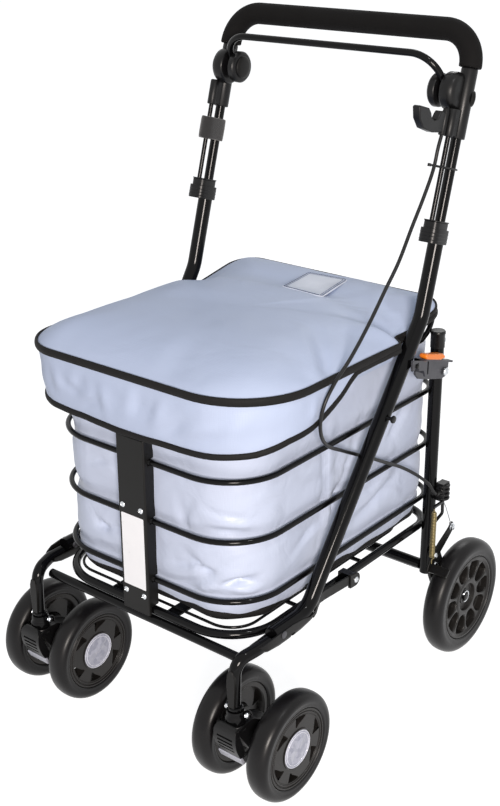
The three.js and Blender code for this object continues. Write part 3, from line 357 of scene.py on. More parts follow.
def addScrew(bm, place, way, radius, height, kind="domed"):
    # head of a screw: domed, with a round recess in its crown, or hexagonal with a washer
    place, way = Vector(place), Vector(way).normalized()
    if kind == "hex":
        addDisc(bm, place, place + way * height * 0.25, radius * 1.25, 28, 0.2)
        addDisc(bm, place + way * height * 0.25, place + way * height, radius, 6, 0.5)
        addDisc(bm, place + way * height, place + way * height * 1.3, radius * 0.5, 18, 0.5)
    else:
        profile = [(0, 0), (0, radius), (height * 0.35, radius * 0.98), (height * 0.7, radius * 0.8),
                   (height * 0.95, radius * 0.45), (height * 0.7, radius * 0.32), (height * 0.55, 0)]
        addLathe(bm, profile, place, way, 24, closed=False)


def addObject(name, data):
    made = bpy.data.objects.new(name, data)
    bpy.context.scene.collection.objects.link(made)
    return made


def finishPiece(bm, name, material, body, nodes=(), bevel=0.0, smooth=38, levels=0):
    bmesh.ops.remove_doubles(bm, verts=bm.verts, dist=0.004)
    bmesh.ops.dissolve_degenerate(bm, edges=bm.edges, dist=0.002)
    bmesh.ops.recalc_face_normals(bm, faces=bm.faces)
    bmesh.ops.scale(bm, vec=(mm, mm, mm), verts=bm.verts)
    mesh = bpy.data.meshes.new(name)
    bm.to_mesh(mesh)
    bm.free()
    return dressPiece(addObject(name, mesh), material, body, nodes, bevel, smooth, levels)


def dressPiece(piece, material, body, nodes=(), bevel=0.0, smooth=38, levels=0):
    mesh = piece.data
    mesh.materials.clear()
    for each in (material if isinstance(material, list) else [material]):
        mesh.materials.append(each)
    mesh.shade_smooth()
    mesh.set_sharp_from_angle(angle=math.radians(smooth))
    if bevel:
        rounding = piece.modifiers.new("edges", "BEVEL")
        rounding.width = bevel * mm
        rounding.segments = 2
        rounding.limit_method = "ANGLE"
        rounding.angle_limit = math.radians(40)
        rounding.harden_normals = False
    if levels:
        fine = piece.modifiers.new("smooth", "SUBSURF")
        fine.levels = fine.render_levels = levels
    if body:
        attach(piece, body)
        if nodes:
            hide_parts(*nodes)
    return piece


def bakeModifiers(piece):
    graph = bpy.context.evaluated_depsgraph_get()
    made = bpy.data.meshes.new_from_object(piece.evaluated_get(graph), depsgraph=graph)
    piece.modifiers.clear()
    piece.data = made
    return piece


def thicken(piece, wall, offset):
    # gives a sheet its wall in mm; an offset of -1 keeps its outer face, 0 its middle
    step = piece.modifiers.new("wall", "SOLIDIFY")
    step.thickness = wall * mm
    step.offset = offset
    return bakeModifiers(piece)


def cutPiece(piece, build):
    # takes the shapes that build(bm) adds out of the piece
    bm = bmesh.new()
    build(bm)
    cutter = finishPiece(bm, piece.name + "Cutter", glossBlack, None)
    step = piece.modifiers.new("cut", "BOOLEAN")
    step.object = cutter
    step.solver = "EXACT"
    step.use_self = True
    bpy.context.view_layer.update()
    bakeModifiers(piece)
    bpy.data.objects.remove(cutter)
    return piece


sides = {"Right": 1, "Left": -1}


def mirrored(side):
    return lambda x, y, z: (side * x, y, z)


# basket: topRise is how far the top ring climbs, and between which places; weld is from x, to x and swell
basket = {"wire": 3.75, "halfWidth": 171, "frontY": -254, "rearY": 202, "front": 80, "rear": 45,
          "heights": {"lower_ring": 260, "middle_ring": 345, "upper_ring": 428},
          "topHeight": 510, "topRise": (24, 140, 185), "weld": (23, 27, 1.4)}
# base: loop is half width, front, rear, corner and wire of the inner loop, which lies loopRise higher
base = {"z": 213, "tube": 6, "half": 169, "stripX": 50, "stripWidth": 20, "stripThick": 3, "crossY": (-130, 20),
        "crossWire": 3, "loop": (150, -238, 150, 40, 2), "loopRise": 4, "lug": ((169, -44, 213), (190.2, -31, 228))}


def easeShare(value, start, end):
    share = min(max((value - start) / (end - start), 0), 1)
    return share * share * (3 - 2 * share)


def topRingAt(y):
    rise, start, end = basket["topRise"]
    return basket["topHeight"] + rise * easeShare(y, start, end)


def addBasketRing(bm, heightAt):
    b = basket
    addTube(bm, ringPath(b["halfWidth"], b["frontY"], b["rearY"], b["front"], b["rear"], heightAt), b["wire"], 16,
            closed=True)


def makeBasket():
    b = basket
    weldFrom, weldTo, weldSwell = b["weld"]
    for node, height in b["heights"].items():
        bm = bmesh.new()
        addBasketRing(bm, lambda x, y: height)
        for sign in (1, -1):  # weld beads where the wire meets the plate
            addTube(bm, [(sign * x, b["frontY"], height) for x in (weldFrom, weldTo)],
                    lambda s: b["wire"] + weldSwell * (1 - s), 16, domed=True)
        finishPiece(bm, node.replace("_r", "R"), glossBlack, "frame", [node])
    bm = bmesh.new()
    addBasketRing(bm, lambda x, y: topRingAt(y))
    finishPiece(bm, "topRing", glossBlack, "frame", ["top_ring"])
    makeBase()
    print("basket wires made")


def makeBase():
    b = base
    bm = bmesh.new()
    addTube(bm, ringPath(b["half"], basket["frontY"], basket["rearY"], basket["front"] - b["tube"], basket["rear"],
                         lambda x, y: b["z"]), b["tube"], 20, closed=True)
    half, front, rearEnd, corner, wire = b["loop"]
    addTube(bm, ringPath(half, front, rearEnd, corner, corner, lambda x, y: b["z"] + b["loopRise"]), wire, 10,
            closed=True)
    for y in b["crossY"]:
        addTube(bm, [(-b["half"], y, b["z"]), (b["half"], y, b["z"])], b["crossWire"], 12)
    for side in sides.values():
        middle, reach = side * b["stripX"], b["stripWidth"] / 2
        addBox(bm, (middle - reach, basket["frontY"], b["z"]),
               (middle + reach, basket["rearY"], b["z"] + b["stripThick"]))
        addBox(bm, *(mirrored(side)(*corner) for corner in b["lug"]))
    finishPiece(bm, "baseFrame", glossBlack, "frame", ["base_frame"], bevel=0.5)


# front plate: a folded channel; film is how far the label's faces stand before the plate
frontPlate = {"half": 24, "front": -265, "back": -247, "wall": 2.5, "fold": 1.5, "bottom": 207.2, "top": 459,
              "gap": 0.4, "sideGap": 2, "openBelow": 20, "boltX": 15.9, "boltZ": (235.2, 360.9),
              "boltHead": (4.1, 2.6)}
label = {"half": 19.5, "low": 244.5, "high": 349.5, "corner": 1.5, "film": (0.35, 0.05)}


def makeFrontPlate():
    p = frontPlate
    bm = bmesh.new()
    h, w, front, back, fold = p["half"], p["wall"], p["front"], p["back"], p["fold"]
    outline = [(-h, back), (-h, front + fold), (-h + fold, front), (h - fold, front), (h, front + fold), (h, back),
               (h - w, back), (h - w, front + w), (-h + w, front + w), (-h + w, back)]
    addPlate(bm, outline, p["bottom"], p["top"], "z")
    plate = finishPiece(bm, "frontPlate", satinBlack, None)

    def notches(bm):  # one for each ring, and one over the base tube that is open below
        wire = basket["wire"]
        notchList = [(z, wire, wire + p["gap"]) for z in basket["heights"].values()]
        for z, radius, below in notchList + [(base["z"], base["tube"], p["openBelow"])]:
            addBox(bm, (-h - p["sideGap"], basket["frontY"] - radius - p["gap"], z - below),
                   (h + p["sideGap"], back + p["sideGap"], z + radius + p["gap"]))
    cutPiece(plate, notches)
    dressPiece(plate, satinBlack, "frame", ["front_plate"], bevel=0.5)

    bm = bmesh.new()
    outline = roundedOutline(-label["half"], label["half"], label["low"], label["high"], label["corner"])
    addPlate(bm, outline, *(front - out for out in label["film"]), "y")
    finishPiece(bm, "blankLabel", labelFilm, "frame", bevel=0.1)

    bm = bmesh.new()
    for z in p["boltZ"]:
        for sign in (1, -1):
            addScrew(bm, (sign * p["boltX"], front, z), (0, -1, 0), *p["boltHead"])
    finishPiece(bm, "plateScrews", zincSteel, "frame")
    print("front plate made")


# wheels and casters: profiles are (along the axle, radius), windows are (radius, turn) before they are mirrored
frontWheel = {"radius": 75, "width": 32, "rim": 56, "y": -226, "z": 75, "spacing": 45.5, "track": 180}
tyre = {"start": -22, "sweep": 112, "steps": 10, "squareness": 0.8, "roundShare": 0.55,
        "footShares": ((0.86, 0), (0.93, 0.06), (0.95, 0.14))}
frontHub = {"shell": [(13.6, 55.75), (14.4, 54.95), (14.4, 52.95), (12.6, 52.35), (12.6, 51.35), (13.8, 50.75),
                      (13.8, 49.1), (12.6, 48.5), (12.6, 47.7), (13.1, 47.1), (13.1, 24), (-4, 24), (-4, 46),
                      (-11.5, 48), (-12.5, 49), (-12.5, 54.75), (-11.6, 55.75)],
            "boss": [(-13, 11.5), (-13, 21), (8, 24.5), (13.0, 27.4), (13.9, 28.6), (14.4, 27.9), (14.1, 26.8),
                     (12.9, 26.6), (12.9, 0), (-1, 0), (-1, 9), (-12, 11.5)],
            "windows": 6, "windowStart": 20, "windowCut": (-16, 18),
            "window": [(46.8, -0.24), (46.8, -0.08), (46.8, 0.08), (46.8, 0.23), (34, 0.27), (33, 0.22), (36.6, 0.08),
                       (44.4, -0.22)]}
# the reflector: one tilt for each facet, and (radius, height) of its clear rings
prisms = {"tilts": (0.7, -0.5, 0.4, -0.6, 0.55, -0.35), "start": 25, "edge": 26.4, "inner": 22.4, "rows": 9,
          "across": 7, "face": 13.9, "dome": 0.9, "back": 12.7, "clearRings": ((25.6, 14.2), (22.4, 14.3)),
          "ringWire": 0.5}


def tyreProfile(radius, width, rim):
    # a full, round section, flattened a little on the tread
    half, deep = width / 2, radius - rim
    bulge = deep * tyre["roundShare"]
    right = [(half * a, rim + deep * b) for a, b in tyre["footShares"]]
    for k in range(tyre["steps"] + 1):
        turn = math.radians(tyre["start"] + tyre["sweep"] * k / tyre["steps"])
        right.append((half * max(math.cos(turn), 0) ** tyre["squareness"], radius - bulge + bulge * math.sin(turn)))
    return right + [(-a, r) for a, r in reversed(right)]


def makeTyre(name, node, body, centre, wheel):
    bm = bmesh.new()
    addLathe(bm, tyreProfile(wheel["radius"], wheel["width"], wheel["rim"]), centre, segments=96)
    finishPiece(bm, name, tyreRubber, body, [node], smooth=60)


def facing(profile, face):
    return [(face * a, r) for a, r in profile]


def makeFrontHub(name, node, body, centre, face):
    h = frontHub
    bm = bmesh.new()  # rim barrel with two lips and a groove, then a thick flat disc
    addLathe(bm, facing(h["shell"], face), centre, segments=72)
    hub = finishPiece(bm, name, hubPlastic, None)

    def windows(bm):  # shark-fin windows in mirrored pairs, wide at one end
        for k in range(h["windows"]):
            middle = math.radians(360 / h["windows"] * k + h["windowStart"])
            hand = 1 if k % 2 else -1
            outline = [(centre[1] + r * math.cos(middle + hand * t), centre[2] + r * math.sin(middle + hand * t))
                       for r, t in h["window"]]
            addPlate(bm, outline, *(centre[0] + cut for cut in h["windowCut"]))
    cutPiece(hub, windows)
    dressPiece(hub, hubPlastic, body, [node], bevel=0.4)
    bm = bmesh.new()
    addLathe(bm, facing(h["boss"], face), centre, segments=56)
    finishPiece(bm, name + "Boss", hubPlastic, body, smooth=40)
    makeReflector(name, body, Vector(centre), face)


def makeReflector(name, body, middle, face):
    p = prisms
    bm = bmesh.new()  # shallow facets inside two clear rings
    last, wide = p["across"] - 1, 360 / len(p["tilts"])

    def at(lift, r, turn):
        return middle + Vector((face * lift, r * math.cos(turn), r * math.sin(turn)))
    for k, tilt in enumerate(p["tilts"]):
        fan = []
        for i in range(p["rows"] + 1):
            r = p["edge"] * i / p["rows"]
            crown = p["face"] + p["dome"] * (1 - (r / p["edge"]) ** 2)
            slope = tilt * math.sin(halfTurn * min(1, r / p["inner"]))
            fan.append([bm.verts.new(at(crown + slope * math.sin(halfTurn * j / last), r,
                                        math.radians(wide * (k + j / last) + p["start"]))) for j in range(last + 1)])
        joinRows(bm, fan, loop=False)
    around = [math.radians(10 * j) for j in range(36)]
    bm.faces.new([bm.verts.new(at(p["back"], p["edge"], turn)) for turn in around])
    bmesh.ops.remove_doubles(bm, verts=bm.verts, dist=0.01)
    bmesh.ops.bridge_loops(bm, edges=[e for e in bm.edges if e.is_boundary or len(e.link_faces) == 1])
    finishPiece(bm, name + "Reflector", reflector, body, smooth=12)
    # two thin rings near the rim, coloured near white: painted highlights for the glint on the reflector's clear rim
    bm = bmesh.new()
    for r, lift in p["clearRings"]:
        addTube(bm, [at(lift, r, turn) for turn in around], p["ringWire"], 8, closed=True)
    finishPiece(bm, name + "Ridges", ridgeHighlight, body, smooth=60)


# caster fork: outlines are (y, z), turned profiles (z, radius); ears and screws are (x out from the middle, y, z)
fork = {"pivotY": -278, "barrel": [(112, 0), (112, 13), (114, 14.5), (119, 14.5), (120.5, 13.5), (120.5, 0)],
        "arm": [(-290, 118), (-285, 106), (-266, 78), (-247, 60), (-226, 56), (-210, 62), (-205, 76), (-212, 92),
                (-226, 104), (-246, 112), (-262, 121)], "armHalf": 14,
        "axleBarrel": (29, 13, 36, 1.2), "axle": (57.5, 5.9, 24, 0.5),
        "head": [(119.6, 0), (119.6, 10.5), (121, 13), (126, 14.2), (131, 13.6), (134, 12), (136.5, 12.4),
                 (139.6, 11.4), (139.6, 0)],
        "ear": ((15, -269, 134), (16, -275.5, 135.5), 5.2), "earNeck": ((6, -274, 133), (15.5, -271, 134), 4.2),
        "screw": ((16, -275.4, 135.5), (0.15, -1, 0.3), 3.7, 3.2)}
# lock pedal: a slotted paddle with cheeks and a rounded crown, hollow behind
pedal = {"half": 18, "cheekIn": 15.8,
         "face": [(-293.2, 126), (-296.6, 124), (-299.6, 117), (-300.4, 106), (-298, 94), (-292, 81), (-287, 74),
                  (-284.6, 75.5), (-288.6, 83), (-293.6, 95), (-295.8, 106), (-295.2, 116), (-292.6, 122)],
         "cheek": [(-295, 124), (-299, 117), (-300, 106), (-297.6, 94), (-291.6, 81), (-284, 77), (-281, 84),
                   (-287, 100), (-291.5, 112)],
         "slotHalf": 12.5, "slotTop": 107, "slotStep": 6.2, "slotHigh": 2.9, "slotY": (-305, -298.4),
         "slotLeans": (0, 0.7, 1.5, 3.4),
         "crown": {"x": 8, "z": 113, "wide": 10.1, "high": 13.4, "clear": (18.1, 19, 130), "cutY": (-310, -278)},
         "strip": [(-291.2, 76.6), (-286, 66.6), (-283.4, 66), (-281.6, 68.4), (-286.6, 77.6), (-289.8, 78.6)],
         "stripHalf": 18.6}


def makeFork(word, side):
    w, f = frontWheel, fork
    low = word.lower()
    cx = side * w["track"]
    pivot = (cx, f["pivotY"], 0)

    def across(half):  # both ends of a pin along the axle
        return [(cx + sign * half, w["y"], w["z"]) for sign in (-1, 1)]
    bm = bmesh.new()  # swept arm and axle barrel below the head
    addLathe(bm, f["barrel"], pivot, (0, 0, 1), 40, closed=False)
    addPlate(bm, smoothOutline(f["arm"], 3), cx - f["armHalf"], cx + f["armHalf"])
    for half, *shape in (f["axleBarrel"], f["axle"]):
        addDisc(bm, *across(half), *shape)
    finishPiece(bm, "casterFork" + word, nylonBlack, "caster_" + low, ["caster_fork_" + low],
                bevel=1.6)

    bm = bmesh.new()  # polished head: a domed cup under the leg with two ears for its screws
    addLathe(bm, f["head"], pivot, (0, 0, 1), 44, closed=False)
    screws = bmesh.new()  # plated screws in the ears, facing forwards
    for sign in (1, -1):
        def at(x, y, z):
            return cx + sign * x, y, z
        start, end, radius = f["ear"]
        addDisc(bm, at(*start), at(*end), radius, 22, 1.6)
        start, end, radius = f["earNeck"]
        addTube(bm, [at(*start), at(*end)], radius, 14, domed=True)
        place, (aside, ahead, rise), radius, height = f["screw"]
        addScrew(screws, at(*place), (sign * aside, ahead, rise), radius, height)
    finishPiece(bm, "casterHead" + word, glossBlack, "caster_" + low, smooth=50)
    finishPiece(screws, "casterScrews" + word, zincSteel, "caster_" + low)
    makePedal(word, cx)


def makePedal(word, cx):
    p = pedal
    low = word.lower()
    bm = bmesh.new()
    addPlate(bm, smoothOutline(p["face"], 2), cx - p["half"], cx + p["half"])
    for sign in (1, -1):
        addPlate(bm, smoothOutline(p["cheek"], 2), cx + sign * p["cheekIn"], cx + sign * p["half"])
    paddle = finishPiece(bm, "lockPedal" + word, nylonBlack, None)

    def slots(bm):
        front, back = p["slotY"]
        for k, lean in enumerate(p["slotLeans"]):
            z = p["slotTop"] - k * p["slotStep"]
            addBox(bm, (cx - p["slotHalf"], front, z), (cx + p["slotHalf"], back + lean, z + p["slotHigh"]))
        c = p["crown"]
        edge, clear, top = c["clear"]
        for sign in (1, -1):
            corner = [(c["x"], top), (clear, top), (clear, c["z"]), (edge, c["z"])]
            corner += arc(c["x"], c["z"], c["wide"], range(15, 91, 15), c["high"])
            addPlate(bm, [(cx + sign * x, z) for x, z in corner], *c["cutY"], "y")
    cutPiece(paddle, slots)
    dressPiece(paddle, nylonBlack, "pedal_" + low, ["caster_pedal_" + low], bevel=0.7)
    bm = bmesh.new()
    addPlate(bm, p["strip"], cx - p["stripHalf"], cx + p["stripHalf"])
    finishPiece(bm, "pedalStrip" + word, greyAcetal, "pedal_" + low, bevel=0.7)


def makeCasters():
    w = frontWheel
    for word, side in sides.items():
        makeFork(word, side)
        for where, sign in (("Outer", side), ("Inner", -side)):
            centre = (side * w["track"] + sign * w["spacing"], w["y"], w["z"])
            tail = f"{word.lower()}_{where.lower()}"
            makeTyre("frontTyre" + word + where, "front_tyre_" + tail, "wheel_" + tail, centre, w)
            makeFrontHub("frontHub" + word + where, "front_hub_" + tail, "wheel_" + tail, centre, sign)
    print("casters made")


rearWheel = {"radius": 90, "width": 33, "rim": 66, "x": 220, "y": 211, "z": 90, "pockets": 10,
             "shell": [(13.2, 65.7), (14.6, 65), (14.8, 62.5), (13.6, 61), (12.6, 58.5), (3, 57.5), (2, 56.5), (2, 24),
                       (-1.5, 24), (-1.5, 57), (-12, 60), (-13.4, 62), (-12.6, 65.7)],
             "boss": [(-13, 8), (-13, 19), (-3, 25), (9, 29.5), (11.5, 28.6), (12.2, 26), (11.6, 22), (6.5, 20.5),
                      (6, 19), (6, 8)],
             "axleEnd": (2, 11, 6), "washer": [(6.2, 6.1), (6.2, 12), (7.4, 12), (7.4, 6.1)],
             "clip": {"x": 9, "radius": 8.5, "wire": 0.9, "tail": (9.5, -11, 9)}}
# one web between two oval pockets: its half width is waist in the middle and flares towards both ends
web = {"steps": 8, "from": 27, "long": 33.5, "waist": 2.6, "flare": 9.5, "outerFlare": 3.2, "floor": 1.5,
       "top": 11.2, "climb": 1.2 / 33, "topShare": 0.82, "edge": 1.4}


def newTree(name, sockets):
    # a Geometry Nodes tree with a mesh in and out, and the named inputs; gives their identifiers
    tree = bpy.data.node_groups.new(name, "GeometryNodeTree")
    tree.interface.new_socket("Geometry", in_out="INPUT", socket_type="NodeSocketGeometry")
    keys = {each: tree.interface.new_socket(each, in_out="INPUT", socket_type="NodeSocket" + kind).identifier
            for each, kind in sockets.items()}
    tree.interface.new_socket("Geometry", in_out="OUTPUT", socket_type="NodeSocketGeometry")
    return tree, keys, addNode(tree, "NodeGroupInput").outputs


def endTree(tree, points, copied, rotation, finish):
    # copies on the points, made real and coated
    copies = addNode(tree, "GeometryNodeInstanceOnPoints", {"Points": points, "Instance": copied,
                                                            "Rotation": rotation})
    real = addNode(tree, "GeometryNodeRealizeInstances", {0: copies.outputs[0]})
    coat = addNode(tree, "GeometryNodeSetMaterial", {"Geometry": real.outputs[0], "Material": finish})
    addNode(tree, "NodeGroupOutput", {0: coat.outputs[0]})


def runTree(piece, made, values):
    tree, keys = made
    step = piece.modifiers.new(tree.name, "NODES")
    step.node_group = tree
    for name, value in values.items():
        step[keys[name]] = value
    bpy.context.view_layer.update()
    return bakeModifiers(piece)


def spokeTree():
    # repeats one web round the wheel's axis: Count copies, turned about X
    tree, keys, entry = newTree("hubWebs", {"Count": "Int", "Centre": "Vector", "Finish": "Material"})
    points = addNode(tree, "GeometryNodePoints", {"Count": entry["Count"], "Position": entry["Centre"]})
    index = addNode(tree, "GeometryNodeInputIndex")
    share = addNode(tree, "ShaderNodeMath", {0: index.outputs[0], 1: entry["Count"]}, operation="DIVIDE")
    turn = addNode(tree, "ShaderNodeMath", {0: share.outputs[0], 1: 2 * halfTurn}, operation="MULTIPLY")
    spin = addNode(tree, "ShaderNodeCombineXYZ", {"X": turn.outputs[0]})
    endTree(tree, points.outputs[0], entry["Geometry"], spin.outputs[0], entry["Finish"])
    return tree, keys


hubTree = spokeTree()


def makeRearWheel(word, side):
    w = rearWheel
    low = word.lower()
    centre = (side * w["x"], w["y"], w["z"])
    body = "rear_wheel_" + low
    makeTyre("rearTyre" + word, "rear_tyre_" + low, body, centre, w)
    bm = bmesh.new()
    addLathe(bm, facing(w["shell"], side), centre, segments=80)
    finishPiece(bm, "rearHub" + word, hubPlastic, body, ["rear_hub_" + low], bevel=0.4)
    bm = bmesh.new()  # middle boss with its sunk face
    addLathe(bm, facing(w["boss"], side), centre, segments=56)
    finishPiece(bm, "rearBoss" + word, hubPlastic, body, bevel=0.3)
    makeWebs(word, side, centre, body)

    bm = bmesh.new()  # axle end, washer and spring clip
    start, end, radius = w["axleEnd"]
    addDisc(bm, *((side * (w["x"] + x), w["y"], w["z"]) for x in (start, end)), radius, 24, 0.8)
    addLathe(bm, facing(w["washer"], side), centre, segments=36)
    finishPiece(bm, "axleEnd" + word, nylonBlack, "frame", bevel=0.2)
    bm = bmesh.new()
    c = w["clip"]
    clip = [(centre[0] + side * c["x"], y, z) for y, z in arc(w["y"], w["z"], c["radius"], range(-120, 150, 10))]
    x, y, z = c["tail"]
    addTube(bm, clip + [(centre[0] + side * x, w["y"] + y, w["z"] + z)], c["wire"], 8, domed=True)
    finishPiece(bm, "axleClip" + word, zincSteel, "frame")


def makeWebs(word, side, centre, body):
    bm = bmesh.new()
    edge = []
    for k in range(web["steps"] + 1):
        share = k / web["steps"]
        swing = 2 * share - 1
        flare = web["flare"] * swing ** 4 + (web["outerFlare"] * swing ** 2 if swing > 0 else 0)
        edge.append((web["waist"] + flare, web["from"] + web["long"] * share))
    outline = [(-a, b) for a, b in edge] + edge[::-1]
    low = [bm.verts.new((side * web["floor"], a, b)) for a, b in outline]
    high = [bm.verts.new((side * (web["top"] + web["climb"] * (b - web["from"])), a * web["topShare"], b))
            for a, b in outline]
    addSolid(bm, low, high)
    piece = finishPiece(bm, "rearWebs" + word, hubPlastic, None, bevel=0)
    rounding = piece.modifiers.new("edges", "BEVEL")
    rounding.width, rounding.segments, rounding.limit_method = web["edge"] * mm, 2, "ANGLE"
    bakeModifiers(piece)
    runTree(piece, hubTree, {"Count": rearWheel["pockets"], "Centre": [c * mm for c in centre], "Finish": hubPlastic})
    dressPiece(piece, hubPlastic, body, smooth=50)


# frame: a path is a list of corners with their bend radius
crossTubes = {"front": (171.2, -258, 200.4, 6.3), "rear": (175, 163.6, 149, 8)}
legs = {"radius": 8.5, "taper": (1.4, 0.6), "steps": 10, "foot": (180, -278),
        "path": [((188.8, -222, 213.3), 0), ((187.9, -246, 213.3), 36), ((180, -278, 209), 20),
                 ((180, -278, 140.4), 0)],
        "ferrule": [(140.1, 0), (140.1, 9.4), (141.2, 10.2), (143.6, 10.2), (144.8, 9), (144.8, 0)],
        "inset": [(-4.9, 145.5), (4.9, 145.5), (6.5, 176), (6.1, 190), (3.6, 198), (0, 200.5), (-3.6, 198),
                  (-6.1, 190), (-6.5, 176)], "insetY": (-287.2, -282.4)}


def addCrossTube(name, node, place):
    x, y, z, radius = place
    bm = bmesh.new()
    addTube(bm, [(-x, y, z), (x, y, z)], radius, 20)
    finishPiece(bm, name, glossBlack, "frame", [node])


def makeFrontFrame():
    g = legs
    addCrossTube("frontCrossTube", "front_cross_tube", crossTubes["front"])
    for word, side in sides.items():
        at = mirrored(side)
        bm = bmesh.new()
        path = roundPath([(at(*place), bend) for place, bend in g["path"]], 14)
        knee, foot = path[-2:]
        path = path[:-1] + [knee.lerp(foot, k / g["steps"]) for k in range(1, g["steps"] + 1)]
        narrower, taperFrom = g["taper"]
        # drawn narrower towards its foot
        addTube(bm, path, lambda share: g["radius"] - narrower * easeShare(share, taperFrom, 1), 24)
        addLathe(bm, g["ferrule"], at(*g["foot"], 0), (0, 0, 1), 32, closed=False)
        finishPiece(bm, "frontLeg" + word, glossBlack, "frame", ["front_leg_" + word.lower()])
        bm = bmesh.new()  # matt face pressed into the front of the leg
        addPlate(bm, [(side * g["foot"][0] + a, b) for a, b in g["inset"]], *g["insetY"], "y")
        finishPiece(bm, "legInset" + word, satinBlack, "frame", bevel=0.5)
        makeSideChannel(word, side)


# stations along the channel: place, outer face, floor, top of the outer wall, top of the inner wall
channel = {"inner": 176.5, "wall": 2.4, "corner": 9.5, "innerCorner": 5, "stations": [
    (-247, 194.5, 209, 218.6, 214), (-242, 197, 207.2, 220, 215), (-232, 199.4, 204.6, 223, 215),
    (-212, 200.5, 203.4, 225, 216), (-185, 200.5, 203.6, 225, 217), (-165, 200.5, 204.6, 223, 217),
    (-148, 200.5, 207.4, 219, 217), (-138, 200.5, 210, 221.4, 217)],
    "notch": ((170, -189, 198), (206, -181.5, 213)),
    # the tail: place, outer face, foot and top; its eye is (y, z, radius)
    "tail": [(-141, 200.5, 213, 220), (-134, 199.6, 216, 224.5), (-126, 196.6, 220, 231), (-118, 193.6, 221.8, 236),
             (-106, 193, 221.4, 236.2), (-51, 193, 217.6, 231.8)],
    "eye": (-37.4, 221.4, 10), "eyeFaces": (190.2, 195), "eyeRoot": (-12.5, -9, 11.4), "screw": (4.4, 2.6)}
# pivot bolt: (from x, to x, radius, rounding) of its shank and its head
pivotBolt = {"y": -205, "z": 220, "discs": ((176, 200.9, 4, 24, 0.4), (200.3, 201.5, 5, 28, 0.8))}


def channelSection(outer, floor, outerTop, innerTop, inset):
    # an open section with round lower corners, inset mm inside its outer faces
    c = channel
    r, small, inner = c["corner"] - inset, c["innerCorner"], c["inner"] + inset
    outer, floor = outer - inset, floor + inset
    points = [(inner, innerTop)] + arc(inner + small, floor + small, small, range(180, 271, 30))
    return points + arc(outer - r, floor + r, r, range(-90, 1, 15)) + [(outer, outerTop)]


def makeSideChannel(word, side):
    at = mirrored(side)
    c = channel
    bm = bmesh.new()
    rings = []
    for y, *shape in c["stations"]:
        section = channelSection(*shape, 0) + channelSection(*shape, c["wall"])[::-1]
        rings.append([bm.verts.new(at(x, y, z)) for x, z in section])
    joinRows(bm, rings)
    count = len(rings[0])
    for ring in (rings[0], rings[-1]):
        for i in range(count // 2 - 1):
            bm.faces.new((ring[i], ring[i + 1], ring[count - 2 - i], ring[count - 1 - i]))
    piece = finishPiece(bm, "sideChannel" + word, satinBlack, None)
    cutPiece(piece, lambda bm: addBox(bm, *(at(*corner) for corner in c["notch"])))
    dressPiece(piece, satinBlack, "frame", ["side_channel_" + word.lower()], bevel=0.5, smooth=50)

    bm = bmesh.new()
    strips = []
    for y, outer, low, high in c["tail"]:
        inner = outer - c["wall"]
        corners = ((outer, low), (outer, high), (inner, high), (inner, low))
        strips.append([bm.verts.new(at(x, y, z)) for x, z in corners])
    joinRows(bm, strips)
    bm.faces.new(strips[0])
    bm.faces.new(strips[-1])
    y, z, r = c["eye"]
    back, low, high = c["eyeRoot"]
    eye = [(y + back, z + low), (y + back, z + high)] + arc(y, z, r, range(100, -101, -20))
    addPlate(bm, eye, *(side * x for x in c["eyeFaces"]))
    finishPiece(bm, "channelTail" + word, satinBlack, "frame", bevel=0.8)
    bm = bmesh.new()
    addScrew(bm, at(c["eyeFaces"][1], y, z), (side, 0, 0), *c["screw"])
    finishPiece(bm, "tailScrew" + word, zincSteel, "frame")
    bm = bmesh.new()
    for start, end, *shape in pivotBolt["discs"]:
        addDisc(bm, *(at(x, pivotBolt["y"], pivotBolt["z"]) for x in (start, end)), *shape)
    finishPiece(bm, "pivotBolt" + word, greySteel, "frame", ["pivot_bolt_" + word.lower()])


# rear posts: the cap's profile is (z, radius); a screw is place, way, radius and height
rear = {"x": 184.8, "y": 163.6, "radius": 9.5, "bottom": 140, "top": 512,
        "cap": [(498, 9.6), (498, 10.2), (517, 10.2), (518, 10.8), (521, 10.8), (522.6, 9.6), (523, 0)],
        "screws": (((188.8, 172.2, 507), (0.45, 1, 0), 4.4, 3), ((199.6, 163.6, 156), (1, 0, 0), 4.6, 3.4),
                   ((199.9, 163.6, 465), (1, 0, 0), 6, 3.6))}


def makeRearFrame():
    addCrossTube("rearCrossTube", "rear_cross_tube", crossTubes["rear"])
    for word, side in sides.items():
        at = mirrored(side)
        bm = bmesh.new()
        addTube(bm, [at(rear["x"], rear["y"], z) for z in (rear["bottom"], rear["top"])], rear["radius"], 24)
        finishPiece(bm, "rearPost" + word, glossBlack, "frame", ["rear_post_" + word.lower()])
        bm = bmesh.new()  # moulded cap with a lip
        addLathe(bm, rear["cap"], at(rear["x"], rear["y"], 0), (0, 0, 1), 36, closed=False)
        finishPiece(bm, "postCap" + word, nylonBlack, "frame")
        bm = bmesh.new()
        for place, way, radius, height in rear["screws"]:
            addScrew(bm, at(*place), at(*way), radius, height)
        finishPiece(bm, "frameScrews" + word, zincSteel, "frame")
        makeBrake(word, side)


